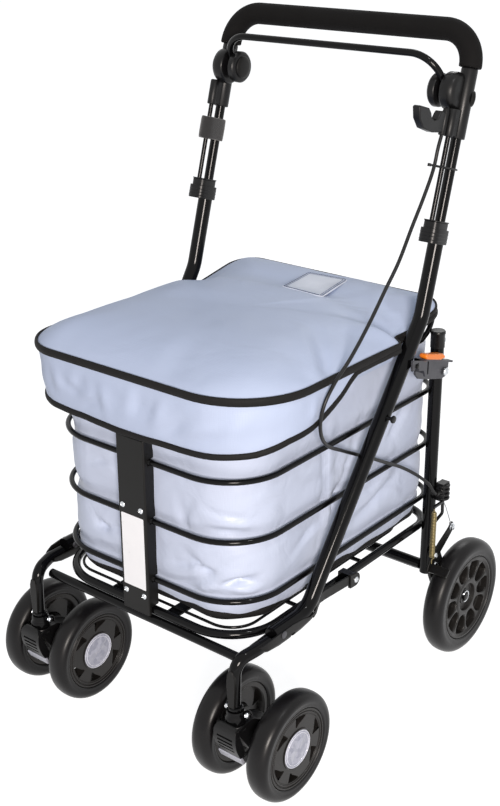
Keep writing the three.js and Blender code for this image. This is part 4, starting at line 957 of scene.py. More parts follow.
# brake: outlines are (y, z); a disc is (from x, to x, place, radius, sides, rounding)
brake = {"bracket": [(154, 140), (184, 88), (201, 76), (221, 76), (226, 92), (222, 103), (190, 150), (173, 182),
                     (158, 184), (149, 178)], "bracketX": (194.6, 199.6),
         "pins": ((196, 229, (211, 90), 6, 24, 0.4), (196, 204.4, (158.4, 174.5), 3, 20, 0.3)),
         "pivot": (158.4, 174.5), "eyelet": (202, 205), "armX": (200, 202.8), "screwX": 202.9,
         # the shoe hangs over the tyre at this angle and distance from the axle
         "shoeAngle": 133, "shoeAt": 93, "shoe": [(0, -7), (0, 7), (4, 7), (4, -7)], "shoeX": (200, 233),
         "armFoot": [(6, -7), (1, -7)]}
anchor = {"block": ((194.6, 163.6, 262), (207.6, 180.6, 290)), "ribX": 201, "ribY": 172.6, "ribs": (4, 263.5, 6.6, 4),
          "ribShape": (10.6, 24, 1.2), "spout": ((202.3, 162.6, 278.4), (202.3, 167.6, 278.4)),
          "hanger": ((203.8, 141, 260.2), (207.6, 168, 264))}
spring = {"x": 206.2, "y": 143, "coils": 30, "steps": 12, "radius": 3.3, "from": 180, "long": 74,
          "foot": (169.5, 176), "head": (256, 259.6), "wire": 0.95}
bareWire = {"route": [(202.5, 172, 262), (203, 182, 245), (203.2, 196, 216), (203.2, 201, 208)], "radius": 0.8,
            "blend": ((202.6, 173, 260), (203.2, 199, 212))}


def makeBrake(word, side):
    at = mirrored(side)
    low = word.lower()
    bm = bmesh.new()
    addPlate(bm, smoothOutline(brake["bracket"], 3), *(side * x for x in brake["bracketX"]))
    for start, end, place, *shape in brake["pins"]:
        addDisc(bm, at(start, *place), at(end, *place), *shape)
    finishPiece(bm, "axleBracket" + word, satinBlack, "frame", ["axle_bracket_" + low], bevel=0.5)

    bm = bmesh.new()  # arm: a flat strip from the eyelet to the shoe
    turn = math.radians(brake["shoeAngle"])
    out = Vector((math.cos(turn), math.sin(turn)))
    along = Vector((out.y, -out.x))
    hubCentre = Vector((rearWheel["y"], rearWheel["z"]))

    def on(radial, tangent):
        return tuple(hubCentre + out * (brake["shoeAt"] + radial) + along * tangent)
    p, e = brake["pivot"], brake["eyelet"]
    arm = [on(*place) for place in brake["armFoot"]] + [
        (p[0] + 6, p[1] - 7), (e[0] + 5, e[1] - 7), (e[0] + 6.5, e[1] + 1), (e[0] + 3, e[1] + 7), (e[0] - 4, e[1] + 7),
        (e[0] - 6, e[1] + 1), (p[0] - 3, p[1] + 8)]
    addPlate(bm, smoothOutline(arm, 3), *(side * x for x in brake["armX"]))
    addPlate(bm, [on(*place) for place in brake["shoe"]], *(side * x for x in brake["shoeX"]))
    finishPiece(bm, "brakeArm" + word, satinBlack, "brake_arm_" + low, ["brake_arm_" + low], bevel=0.7)
    bm = bmesh.new()
    addScrew(bm, at(brake["screwX"], *p), (side, 0, 0), 4.6, 2.6)
    addScrew(bm, at(brake["screwX"], *e), (side, 0, 0), 4.8, 3.6, "hex")
    finishPiece(bm, "armScrews" + word, zincSteel, "brake_arm_" + low)
    makeBrakeEnd(word, side)


def makeBrakeEnd(word, side):
    at = mirrored(side)
    low = word.lower()
    a = anchor
    bm = bmesh.new()  # cable anchor: a ribbed block clamped on the post
    addBox(bm, *(at(*corner) for corner in a["block"]))
    count, first, step, high = a["ribs"]
    for k in range(count):
        z = first + k * step
        addDisc(bm, at(a["ribX"], a["ribY"], z), at(a["ribX"], a["ribY"], z + high), *a["ribShape"])
    addDisc(bm, *(at(*place) for place in a["spout"]), 4.6, 20, 0.8)
    addBox(bm, *(at(*corner) for corner in a["hanger"]))
    finishPiece(bm, "cableAnchor" + word, nylonBlack, "frame", ["cable_anchor_" + low], bevel=0.8)

    bm = bmesh.new()  # tension spring with two hooks
    s = spring
    count = s["coils"] * s["steps"]
    path = [at(s["x"], s["y"], z) for z in s["foot"]]
    for k in range(count + 1):
        turn = 2 * halfTurn * k / s["steps"]
        path.append(at(s["x"] + s["radius"] * math.cos(turn), s["y"] + s["radius"] * math.sin(turn),
                       s["from"] + s["long"] * k / count))
    addTube(bm, path + [at(s["x"], s["y"], z) for z in s["head"]], s["wire"], 6)
    finishPiece(bm, "brakeSpring" + word, springWire, "frame", ["brake_spring_" + low], smooth=60)
    bm = bmesh.new()
    addTube(bm, [at(*place) for place in bareWire["route"]], bareWire["radius"], 8)
    wire = finishPiece(bm, "innerWire" + word, innerWire, None)
    start, end = (tuple(Vector(at(*place)) * mm) for place in bareWire["blend"])
    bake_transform(wire)
    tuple(start)
    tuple(end)


# latch: its top edge slopes from (y, z) by rise over run; (y, below the top edge) unless a list says z
latch = {"high": (162, 483), "slope": 19 / 61, "backX": (194.6, 197.6), "flangeX": (194.6, 204), "flange": 3,
         "frontX": (212.5, 215.5), "leverX": (195.3, 207.6), "leverLift": 0.6, "bridge": (88, 91, 19),
         "backZ": [(174, 462), (168, 456), (158, 455), (120, 466), (96, 474), (88, 482)], "backEnds": (88, 175),
         # the front hook: (y, place on the edge that it is measured from, below that)
         "front": [(91, 91, 0), (51, 51, 0), (51, 51, 15), (57.6, 51, 15), (57.6, 51, 7), (66, 51, 7), (67, 51, 19),
                   (79, 51, 22), (84, 91, 20), (91, 91, 19)],
         "lever": [(101, 101, 0), (137, 137, 0), (143, 140, -1), (148, 148, -2.6), (148, 148, -6.6),
                   (143, 140, -8.4), (101, 101, -7.5), (98.5, 101, -5.4), (98.5, 101, -2)]}
# pins on the handle tube that the hook holds, with a clip, and a small stud: (from x, to x, radius, sides, rounding)
handlePins = {"y": 61.5, "below": 11, "pin": ((205, 218, 3, 20, 0.8), (209, 212, 6.5, 24, 0.8)),
              "studAt": (9, 448), "stud": ((205, 213, 2.6, 18, 0.5), (213, 217, 5.2, 24, 1.4))}


def makeLatch(word, side):
    at = mirrored(side)
    low = word.lower()
    c = latch

    def top(y):
        return c["high"][1] + c["slope"] * (c["high"][0] - y)
    bm = bmesh.new()
    start, end = c["backEnds"]
    addPlate(bm, [(start, top(start)), (end, top(end))] + c["backZ"], *(side * x for x in c["backX"]))
    flange = [(start, top(start)), (end, top(end)), (end, top(end) - c["flange"]), (start, top(start) - c["flange"])]
    addPlate(bm, flange, *(side * x for x in c["flangeX"]))
    addPlate(bm, [(y, top(edge) - below) for y, edge, below in c["front"]], *(side * x for x in c["frontX"]))
    start, end, deep = c["bridge"]
    addBox(bm, at(c["backX"][0], start, top(start) - deep), at(c["frontX"][1], end, top(start)))
    finishPiece(bm, "latchHook" + word, greySteel, "latch_" + low, ["latch_hook_" + low], bevel=0.8)
    bm = bmesh.new()
    lever = [(y, top(edge) + c["leverLift"] - below) for y, edge, below in c["lever"]]
    addPlate(bm, lever, *(side * x for x in c["leverX"]))
    finishPiece(bm, "latchLever" + word, leverOrange, "latch_" + low, ["latch_lever_" + low],
                bevel=1.6)
    bm = bmesh.new()
    p = handlePins
    pinAt = (p["y"], top(c["front"][1][0]) - p["below"])
    for place, discs in ((pinAt, p["pin"]), (p["studAt"], p["stud"])):
        for start, end, *shape in discs:
            addDisc(bm, at(start, *place), at(end, *place), *shape)
    finishPiece(bm, "handlePins" + word, nylonBlack, "handle_lower")


# handle: up() places a point in its leant frame, whose foot is at (y, z)
handle = {"half": 200, "lean": math.radians(16.3), "foot": (118, 656), "rodY": -21.5, "clipX": 4.8, "clipY": -30.4,
          "lowerPath": [((200, 91, 563), 55), ((189.1, -143, 220), 38), ((189.1, -215.9, 220), 0)], "lowerTop": 6.9,
          "lower": 10.5, "upper": 7, "upperFoot": -23, "crown": 277, "crownBend": 45, "rod": (3.25, 9, 171)}
# collar blocks: half width, y from and to, s from and to, corner; then the ridges round the clamp
collar = {"blocks": ((14, -29, 11.5, 3, 22, 10), (11.6, -26, 8.8, 21, 31, 8), (12.6, -27, 9.8, 31, 32.6, 9)),
          "ridge": (14.4, -29.4, 11.9, 10.3), "ridges": (3, 6.5, 4.6, 1.2), "screwAt": (11.6, 12), "screw": (3.2, 2)}
# housing: sleeves are (s, radius); drums are (x, radius) about the drum's middle at (y, s)
housing = {"sleeve": [(140, 7.4), (140, 10.4), (141, 11), (228, 11), (230.4, 10.2), (230.4, 7.4)],
           "rodSleeve": [(140, 3.5), (140, 6), (141, 6.5), (174, 6.5), (175.5, 5.4), (175.5, 0), (172, 0), (172, 3.5)],
           "webHalf": 5.5, "web": (-20, -3, 142, 176, 1), "drumAt": (-12, 198),
           "drums": (([(202, 0), (202, 16), (201, 20.5), (198, 23.6), (193, 25), (184, 25), (182, 24), (181, 22.5),
                       (181, 0)], 56), ([(182, 0), (182, 6), (172, 6), (172, 0)], 28),
                     ([(173, 0), (173, 20), (172, 21.6), (170.5, 22), (164, 22), (161.6, 20), (161, 17.5), (161, 0)],
                      56)),
           "spout": [(140, 0), (140, 4.2), (141, 4.8), (170, 4.8), (174, 3.6), (176, 0)],
           "cap": [(161.2, 0), (161.2, 15.5), (159.4, 15.5), (158, 14), (157, 9), (156.6, 0)],
           "cover": [(0, 0), (0, 11), (3.6, 11), (5.6, 9.8), (6.6, 7), (7, 0)], "coverAt": (205, 4, 193),
           "screw": (6.9, 3, 1.5)}


def up(x, y, s):
    # a place in the leant handle: x, y and the distance s along the tube, to the whole part's frame
    footY, footZ = handle["foot"]
    cos, sin = math.cos(handle["lean"]), math.sin(handle["lean"])
    return Vector((x, footY + y * cos + s * sin, footZ - y * sin + s * cos))


axisUp = Vector((0, math.sin(handle["lean"]), math.cos(handle["lean"])))
axisBack = Vector((0, math.cos(handle["lean"]), -math.sin(handle["lean"])))


def addLeantBlock(bm, middle, half, y0, y1, s0, s1, corner=3.0):
    outline = roundedOutline(middle - half, middle + half, y0, y1, corner, 4)
    addSolid(bm, *([bm.verts.new(up(a, b, s)) for a, b in outline] for s in (s0, s1)))


def makeHandleSide(word, side):
    at = mirrored(side)
    low = word.lower()
    h, c = handle, collar
    x = side * h["half"]
    bm = bmesh.new()
    path = [(up(x, 0, h["lowerTop"]), 0)] + [(at(*place), bend) for place, bend in h["lowerPath"]]
    addTube(bm, roundPath(path, 14), h["lower"], 28)
    finishPiece(bm, "handleTube" + word, glossBlack, "handle_lower", ["handle_tube_" + low], smooth=50)

    bm = bmesh.new()  # collar: split clamp with a lip above, and ridges round the clamp
    for block in c["blocks"]:
        addLeantBlock(bm, x, *block)
    half, y0, y1, corner = c["ridge"]
    count, first, step, high = c["ridges"]
    for k in range(count):
        addLeantBlock(bm, x, half, y0, y1, first + k * step, first + k * step + high, corner)
    finishPiece(bm, "collar" + word, nylonBlack, "handle_lower", ["collar_" + low], bevel=0.9)
    bm = bmesh.new()
    addScrew(bm, up(x, *c["screwAt"]), axisBack, *c["screw"])
    finishPiece(bm, "collarScrew" + word, zincSteel, "handle_lower")

    bm = bmesh.new()
    radius, *ends = h["rod"]
    addTube(bm, [up(x, h["rodY"], s) for s in ends], radius, 16)
    finishPiece(bm, "thinRod" + word, glossBlack, "handle_upper", ["thin_rod_" + low])
    makeHousing(word, side)


def makeHousing(word, side):
    h = housing
    x = side * handle["half"]
    bm = bmesh.new()
    addLathe(bm, h["sleeve"], up(x, 0, 0), axisUp, 40)
    addLathe(bm, h["rodSleeve"], up(x, handle["rodY"], 0), axisUp, 28)
    addLeantBlock(bm, x, h["webHalf"], *h["web"])
    centre = up(0, *h["drumAt"])
    for profile, segments in h["drums"]:
        addLathe(bm, facing(profile, side), centre, (1, 0, 0), segments, closed=False)
    if side > 0:  # spout for the brake cable
        addLathe(bm, h["spout"], up(x - handle["clipX"], handle["clipY"], 0), axisUp, 24, closed=False)
    finishPiece(bm, "housing" + word, nylonBlack, "handle_upper", ["handle_housing_" + word.lower()],
                bevel=0.7)
    bm = bmesh.new()  # domed cap on the drum's inner face
    addLathe(bm, facing(h["cap"], side), centre, (1, 0, 0), 48, closed=False)
    finishPiece(bm, "drumCap" + word, satinBlack, "handle_upper", bevel=0.3)
    bm = bmesh.new()  # low domed cover on the tube's outer side, turned to the rear, and its screw
    coverX, coverY, coverS = h["coverAt"]
    cover, way = up(side * coverX, coverY, coverS), (Vector((side, 0, 0)) + axisBack).normalized()
    addLathe(bm, h["cover"], cover, way, 44, closed=False)
    finishPiece(bm, "housingCover" + word, satinBlack, "handle_upper", bevel=0.3)
    bm = bmesh.new()
    rise, *head = h["screw"]
    addScrew(bm, cover + way * rise, way, *head)
    finishPiece(bm, "drumScrew" + word, zincSteel, "handle_upper")


grip = {"foot": 230.9, "radius": 15, "endRound": (0.8, 90), "lip": [(0, 14), (-0.2, 13.2), (0.4, 8)]}
# hook: shares of its depth and height, from its top corner on the housing
bagHook = {"back": (-35.5, 140), "deep": 66.5, "high": 28, "x": (188, 199),
           "shares": [(0, 0.11), (0.353, 0), (0.714, 0.07), (0.91, 0.43), (1, 0.93), (0.955, 1), (0.64, 1),
                      (0.534, 0.82), (0.49, 0.64), (0.37, 0.54), (0.25, 0.64), (0.2, 0.89), (0.158, 1.04), (0, 1.04)]}
brakeBar = {"reach": (0, -24, 47), "startShare": 0.2, "half": 177, "bend": 40, "radius": 4.75,
            "boss": [(174.6, 6.3), (174.6, 12.4), (175.2, 13), (178.8, 13), (179.4, 12.4), (179.4, 6.3)]}


def hoop(foot, steps):
    # the upper tube's line: up one side, over the crown and down the other
    half, crown, bend = handle["half"], handle["crown"], handle["crownBend"]
    return roundPath([(up(-half, 0, foot), 0), (up(-half, 0, crown), bend), (up(half, 0, crown), bend),
                      (up(half, 0, foot), 0)], steps)


def makeHandle():
    for word, side in sides.items():
        makeHandleSide(word, side)
    bm = bmesh.new()
    addTube(bm, hoop(handle["upperFoot"], 16), handle["upper"], 24)
    finishPiece(bm, "upperTube", glossBlack, "handle_upper", ["upper_tube"], smooth=50)
    bm = bmesh.new()
    path = hoop(grip["foot"], 20)
    less, quick = grip["endRound"]
    addTube(bm, path, lambda s: grip["radius"] - less * max(0, 1 - min(s, 1 - s) * quick), 32)
    for end in (path[0], path[-1]):
        addLathe(bm, grip["lip"], end, axisUp, 32, closed=False)
    finishPiece(bm, "foamGrip", gripFoam, "handle_upper", ["grip"], smooth=60)

    bm = bmesh.new()  # hook for a bag on the right housing
    b = bagHook
    outline = [up(0, b["back"][0] - a * b["deep"], b["back"][1] + share * b["high"]) for a, share in b["shares"]]
    addPlate(bm, [(p.y, p.z) for p in outline], *b["x"])
    finishPiece(bm, "bagHook", nylonBlack, "handle_upper", ["bag_hook"], bevel=1.4)

    bm = bmesh.new()
    b = brakeBar
    centre = up(0, *housing["drumAt"])
    start, crown = (centre + Vector(b["reach"]) * share for share in (b["startShare"], 1))
    path = roundPath([((sign * b["half"], *place.yz), bend) for sign, place, bend in (
        (-1, start, 0), (-1, crown, b["bend"]), (1, crown, b["bend"]), (1, start, 0))], 14)
    addTube(bm, path, b["radius"], 20)
    for sign in (1, -1):
        addLathe(bm, b["boss"], centre, (sign, 0, 0), 40)
    finishPiece(bm, "brakeBar", glossBlack, "brake_bar", ["brake_bar"])
    print("handle made")


brakeCable = {"radius": 2.4, "top": 139.7, "blend": ((0.205, 0.05, 0.70), (0.18, 0.0, 0.385)),
              "route": [(195.2, 121, 783), (196, 110.4, 757.1), (200, 83.8, 727.3), (203.5, 52.3, 694.3),
                        (207, 20.1, 658.6), (210, -13.6, 630.2), (212, -52.5, 594.4), (213, -89.4, 563.7),
                        (212, -119.8, 541.1), (210, -138.3, 518.5), (206.5, -142.1, 492.8), (201, -130.7, 467.2),
                        (194, -106.7, 445.1), (186, -69.2, 424), (181, -30.7, 403.4), (180.5, 5, 385), (181, 45, 363),
                        (183, 85, 341), (190, 115, 320), (198, 136, 300), (201, 146, 285), (202.3, 153.2, 278.4),
                        (202.3, 162.8, 278.4)], "ferrule": (-8, -2, 3.3)}
crossCable = {"radius": 2.4, "half": [((199, 176.9, 261.7), 0), ((199, 178.9, 236), 13), ((182.4, 178.9, 210), 13),
                                      ((182.4, 178.9, 131.4), 26)]}
# tie: (x out from the tube, y) round tube, rod and cable, at s; its block is middle, half, y, y, s, s, corner
cableTie = {"s": 101, "radius": 1.3, "block": (189, 2, -37.6, -34, 99, 103, 0.8),
            "loop": [(8.4, 0), (6, 7), (0, 8.6), (-6, 7), (-9.5, 0), (-11.5, -20), (-12, -34), (-8, -37), (-2, -35),
                     (3.5, -25.5), (6, -18), (8.4, -6)]}
strap = {"from": 90, "to": 122, "half": 10.2, "deep": 10.5, "rows": 6, "bulge": 0.06, "crumple": (1.2, 0.2),
         "thick": 1.8}


def cordLength(path):
    return sum((b - a).length for a, b in zip(path, path[1:])) * mm


def makeCables():
    bm = bmesh.new()
    c = brakeCable
    start = up(handle["half"] - handle["clipX"], handle["clipY"], c["top"])
    path = smoothPath([start] + c["route"], 6)
    addTube(bm, path, c["radius"], 14)
    cable = finishPiece(bm, "brakeCable", cableJacket, None, smooth=60)
    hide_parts("brake_cable")
    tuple(c["blend"][0])
    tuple(c["blend"][1])
    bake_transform(cable)
    cordLength(path)
    bm = bmesh.new()  # ferrule where the outer ends
    first, last, radius = c["ferrule"]
    addTube(bm, path[first:last], radius, 14)
    finishPiece(bm, "cableFerrule", satinBlack, "frame", smooth=60)
    bm = bmesh.new()
    c = crossCable
    right, left = ([(mirrored(side)(*place), bend) for place, bend in c["half"]] for side in sides.values())
    path = roundPath(right + left[::-1], 8)
    addTube(bm, path, c["radius"], 14)
    cross = finishPiece(bm, "crossCable", cableJacket, "frame", ["cross_cable"], smooth=60)
    cordLength(path)
    makeTies()
    print("cables made")


def makeTies():
    bm = bmesh.new()  # cable tie round the right upper tube, rod and cable
    t = cableTie
    addTube(bm, [up(handle["half"] + a, b, t["s"]) for a, b in t["loop"]], t["radius"], 8, closed=True)
    addLeantBlock(bm, *t["block"])
    finishPiece(bm, "cableTie", cableJacket, "handle_upper", bevel=0)
    bm = bmesh.new()  # hook-and-loop strap round the left upper tube and rod
    t = strap
    ring = [(x - handle["half"], y + (handle["rodY"] if turn > 180 else 0)) for turn in range(0, 360, 15)
            for x, y in arc(0, 0, t["half"], [turn], t["deep"])]
    depth, fineness = t["crumple"]
    rows = []
    for k in range(t["rows"] + 1):
        s = t["from"] + (t["to"] - t["from"]) * k / t["rows"]
        swell = 1 + t["bulge"] * math.sin(halfTurn * k / t["rows"])
        rows.append([bm.verts.new(up((x + handle["half"]) * swell - handle["half"], y, s + depth * noise.noise(
            Vector((x * fineness, y * fineness, s))))) for x, y in ring])
    joinRows(bm, rows)
    piece = finishPiece(bm, "hookAndLoopStrap", fuzzyStrap, None)
    thicken(piece, t["thick"], 0)
    dressPiece(piece, fuzzyStrap, "handle_upper", levels=1)


# bag
bag = {"half": 163, "front": -243, "rear": 192, "bottom": 219.3, "top": 507, "corner": 70, "rearCorner": 45,
       "foldGain": 1.7, "deepest": 14, "foot": 10, "gap": 7, "rows": 84, "wall": 1.6,
       # floor panel, sagging to the strips: share of the plan and height over the bag's bottom
       "floorY": -25, "floor": ((0.93, 8), (0.8, 5), (0.6, 2.6), (0.3, 1.4))}
# folds: centre (x, y, z), half length, half width, depth and turn in degrees, seen from outside
bagFolds = [(137, -227, 284, 22, 6.5, -6, 12), (146, -218, 274, 15, 6, 5.5, -14), (114, -240, 277, 18, 6, 4.5, 32),
            (131, -232, 356, 18, 7, -3.5, 0), (75, -243, 284, 26, 8, 4, 12), (100, -242, 300, 20, 7, -4, -30),
            (96, -238, 288, 26, 6, -4, 35), (90, -240, 372, 16, 6, 3.5, 65), (70, -243, 366, 18, 6, -3, 100),
            (118, -216, 370, 22, 6, 3, -20), (60, -243, 455, 34, 8, 3, 8), (-62, -243, 290, 26, 8, 4.5, 8),
            (-75, -243, 302, 16, 6, -3.5, -40), (-70, -243, 388, 20, 7, 3, 20), (-130, -205, 400, 24, 8, 3, -10),
            (163, 40, 300, 46, 11, -4.5, 15), (163, 60, 322, 34, 9, 4, 28), (163, 20, 384, 40, 10, 4, -18),
            (163, 95, 400, 26, 8, -3.5, 40), (163, -66, 380, 60, 6, 4.5, 88), (163, -50, 330, 66, 7, -3.5, 88),
            (163, -90, 450, 30, 7, 3, -30), (163, -110, 300, 28, 8, 4, 20), (163, -45, 345, 85, 4.5, -4.5, 62)]


def outwardAt(path, i):
    along = (path[(i + 1) % len(path)] - path[i - 1]).normalized()
    return Vector((along.y, -along.x, 0))


def noiseAt(x, y, z):
    return noise.noise(Vector((x, y, z)))


def hump(offset, width):
    # 1 at an offset of 0, falling to nothing past the width on both sides
    return math.exp(-(offset / width) ** 2)


def foldPush(place, outwards, folds):
    # how far the folds push the cloth out at a place
    tangent = Vector((0, 0, 1)).cross(outwards)
    push = 0
    for x, y, z, long, wide, depth, turn in folds:
        gap = place - Vector((x, y, z))
        if gap.length > long * 2.6:
            continue
        a = math.radians(turn)
        u = gap.dot(tangent) * math.cos(a) + gap.z * math.sin(a)
        v = -gap.dot(tangent) * math.sin(a) + gap.z * math.cos(a)
        push += depth * hump(u, long) * (hump(v, wide) - 0.6 * hump(v - wide * 1.5, wide * 0.8))
    return push


def bagPush(place, outwards, wires, lowest):
    # how far the cloth stands out at a place: swollen between the wires, tucked in at the foot, gathered and folded
    x, y, z = place
    near = min(abs(z - w) for w in wires)
    above = min([z - w for w in wires if z >= w] or [80])
    swell = 4.4 * (1 - hump(near, 17)) if z > wires[0] else 2.2
    swell += 1.6 * hump(above - 24, 16)
    tuck = -8 * max(0, 1 - (z - lowest) / 30) ** 1.6
    curved = hump(abs(x) - 130, 45) if y < -150 else 0.35
    gather = 1.5 * noiseAt(x * 0.055, y * 0.055, z * 0.012) * hump(near - 9, 14) * curved
    soft = 3.0 * noiseAt(x * 0.012 + 3, y * 0.012, z * 0.02)
    soft += 1.3 * noiseAt(x * 0.03 + 7, y * 0.03, z * 0.045)
    push = swell + tuck + gather + soft + bag["foldGain"] * foldPush(place, outwards, bagFolds)
    reach = 3.6 + 1.6 * min(1, near / 9)  # eased off before it meets the wires
    push = reach - math.log1p(math.exp((reach - push) * 0.9)) / 0.9
    return max(push, -bag["deepest"])


def makeBag():
    b = bag
    ring = ringPath(b["half"], b["front"], b["rear"], b["corner"], b["rearCorner"], lambda x, y: 0, 14)
    path = denser(ring, b["gap"])
    outward = [outwardAt(path, i) for i in range(len(path))]
    if outward[0].y > 0:
        outward = [-o for o in outward]
    wires = sorted(basket["heights"].values())
    lowest = b["bottom"] + b["foot"]
    bm = bmesh.new()
    rows = []
    for k in range(b["rows"] + 1):
        height = Vector((0, 0, lowest + (b["top"] - lowest) * k / b["rows"]))
        rows.append([bm.verts.new(p + height + o * bagPush(p + height, o, wires, lowest))
                     for p, o in zip(path, outward)])
    joinRows(bm, rows)
    above, middle = rows[0], b["floorY"]
    for share, lift in b["floor"]:
        inner = [bm.verts.new((p.x * share, middle + (p.y - middle) * share, b["bottom"] + lift)) for p in path]
        joinRows(bm, [inner, above])
        above = inner
    bm.faces.new(above)
    sack = finishPiece(bm, "bagShell", bagCloth, None)
    thicken(sack, b["wall"], -1)
    dressPiece(sack, bagCloth, "frame", ["bag"], smooth=80)
    bm = bmesh.new()  # black binding round the bag's foot, and a hem at its mouth
    foot = [p + o * (-5.6 + 2.2 * noise.noise(p * 0.024)) + Vector((0, 0, lowest + 2.4 + 3 * noise.noise(p * 0.019)))
            for p, o in zip(path, outward)]
    addTube(bm, foot, lambda s: 2.9 + 0.5 * noiseAt(s * 40, 0, 0), 12, closed=True, squeeze=2.1)
    hem = [p + o * 0.5 + Vector((0, 0, b["top"] - 3)) for p, o in zip(path, outward)]
    addTube(bm, hem, 2.2, 8, closed=True, squeeze=2)
    finishPiece(bm, "bagBinding", bindingTape, "frame", smooth=70)
    print("bag made")


# lid: wide in front of the handle tubes and narrow between them, "waist"
lid = {"half": 204, "waist": 184, "waistFrom": 36, "waistTo": 57, "front": -264, "rear": 187, "piping": 540,
       "rise": 18, "riseY": 90, "frontCorners": (105, 66), "rearCorner": 40, "dome": 33, "rearDome": 25, "roll": 96,
       "seam": 66,
       "skirt": [(-264, 462.5), (-230, 468.5), (-193, 479), (-153, 485), (-133, 490), (-112, 499), (-91, 510),
                 (-74, 524), (-60, 531)],
       "edge": 9, "tape": 5.6, "openKeep": 0.9, "gap": 8, "middle": (0, -50), "under": (14, 4.6),
       "underShares": (0.3, 0.6, 0.88), "wallInset": 8, "wallHalf": 196, "skirtRows": 14,
       "topShares": (0.995, 0.985, 0.97, 0.95, 0.92, 0.885, 0.84, 0.79, 0.73, 0.66, 0.58, 0.5, 0.42, 0.34, 0.26, 0.18,
                     0.1, 0.05)}
# dents in the lid's top: both ends in plan, half width, depth
lidDents = [((199, -118), (134, -52), 8.5, 9), ((190, -134), (122, -68), 12, -3.5), ((187, 52), (147, 106), 8, 6),
            ((188, 58), (120, 20), 13, 5), ((190, 40), (150, -10), 12, -3.5), ((178, 66), (150, 112), 15, 4.5),
            ((150, 60), (140, 20), 9, 3), ((196, 10), (150, -60), 16, 2.5), ((-186, 60), (-120, 30), 14, 5),
            ((-176, 72), (-140, 115), 14, 4), ((60, -240), (30, -180), 20, 1.6), ((-90, -60), (20, -30), 34, 1.8)]
skirtFolds = [(-70, -264, 486, 15, 7, -2.6, 30), (-104, -262, 500, 16, 7, -2.4, -25),
              (20, -264, 512, 24, 10, -4, 75), (52, -264, 505, 26, 9, 4, 70), (78, -262, 494, 20, 8, -3, 40),
              (-40, -264, 500, 22, 8, 3.2, 100), (-86, -264, 512, 20, 9, -3, 60), (-130, -240, 505, 18, 8, 3.5, 95),
              (150, -236, 505, 26, 10, 3, 60), (120, -255, 486, 22, 8, -3, 25), (196, -150, 512, 20, 8, 3, 80)]


def clamp(value, low=0, high=1):
    return min(max(value, low), high)


def pipingAt(y):
    return lid["piping"] + lid["rise"] * clamp((y - lid["riseY"]) / (lid["rear"] - lid["riseY"]))


def skirtAt(y):
    table = lid["skirt"]
    if y >= table[-1][0]:
        return pipingAt(y) - lid["edge"]
    for (a, za), (b, zb) in zip(table, table[1:]):
        if a <= y <= b:
            return za + (zb - za) * (y - a) / (b - a)
    return table[0][1]


def skirtInset(x, y):
    # how far the skirt's foot hangs inside the tape above it; it stands over the front plate
    over = hump(x, 70) if y < -200 else 0
    return (3.4 + 6 * easeShare(-x, 90, 180)) * (1 - over) - 3.4 * over


def lidRim():
    # plan of the lid, with unlike front corners
    l = lid
    r = l["rearCorner"]
    halves = []
    for c in l["frontCorners"]:
        turns = [math.radians(a) for a in range(0, 91, 6)]
        half = [(0.0, l["front"])]
        half += [(l["half"] - c + c * math.sin(t), l["front"] + c - c * math.cos(t)) for t in turns]
        for k in range(7):
            y = l["waistFrom"] + (l["waistTo"] - l["waistFrom"]) * k / 6
            half.append((l["half"] - (l["half"] - l["waist"]) * easeShare(y, l["waistFrom"], l["waistTo"]), y))
        halves.append(half + arc(l["waist"] - r, l["rear"] - r, r, range(0, 91, 9)))
    whole = halves[0] + [(0.0, l["rear"])] + [(-x, y) for x, y in halves[1][:0:-1]]
    return denser([Vector((x, y, 0)) for x, y in whole], l["gap"])


def dentAt(x, y):
    depth = 0
    for (ax, ay), (bx, by), wide, deep in lidDents:
        along = Vector((bx - ax, by - ay))
        share = clamp(((x - ax) * along.x + (y - ay) * along.y) / along.length_squared)
        off = math.hypot(x - ax - along.x * share, y - ay - along.y * share)
        depth += deep * (1 - 0.75 * share) * hump(off, wide)
    return depth


def topAt(x, y, edge):
    # height of the cushion's top, edge mm in from its rim
    l = lid
    share = min(edge / l["roll"], 1)
    dome = (l["dome"] + (l["rearDome"] - l["dome"]) * easeShare(y, 45, 85)) * (1 - (1 - share) ** 2.3) ** 0.8
    aside = min(abs(x) / 170, 1)
    seamY = l["seam"] - 8 * aside ** 4
    valley = (1.4 + 8.5 * aside ** 3) * math.exp(-abs(y - seamY) / (7 + 6 * aside)) * min(1, edge / 20)
    soft = 2.2 * noiseAt(x * 0.011, y * 0.011, 3) + 0.8 * noiseAt(x * 0.03, y * 0.03, 8)
    return pipingAt(y) + dome - valley - dentAt(x, y) * min(1, edge / 16) + soft * min(1, edge / 30)


def skirtPlace(p, outwards, share):
    # a place on the skirt's outer face, share of the way from its foot up to the piping
    low, high = skirtAt(p.y) + 1, pipingAt(p.y) - 4
    z = low + (high - low) * share
    place = Vector((p.x, p.y, z))
    deep = min(1, (high - low) / 60)
    belly = math.sin(halfTurn * share) ** 0.8 * deep
    folds = foldPush(place, outwards, skirtFolds) + 1.6 * noiseAt(p.x * 0.02, p.y * 0.02, z * 0.045)
    inset = skirtInset(p.x, p.y) * (1 - share) ** 0.6 + 1.2
    return place + outwards * min(-inset * deep + (2.4 + folds) * belly - 0.4, 4.6)


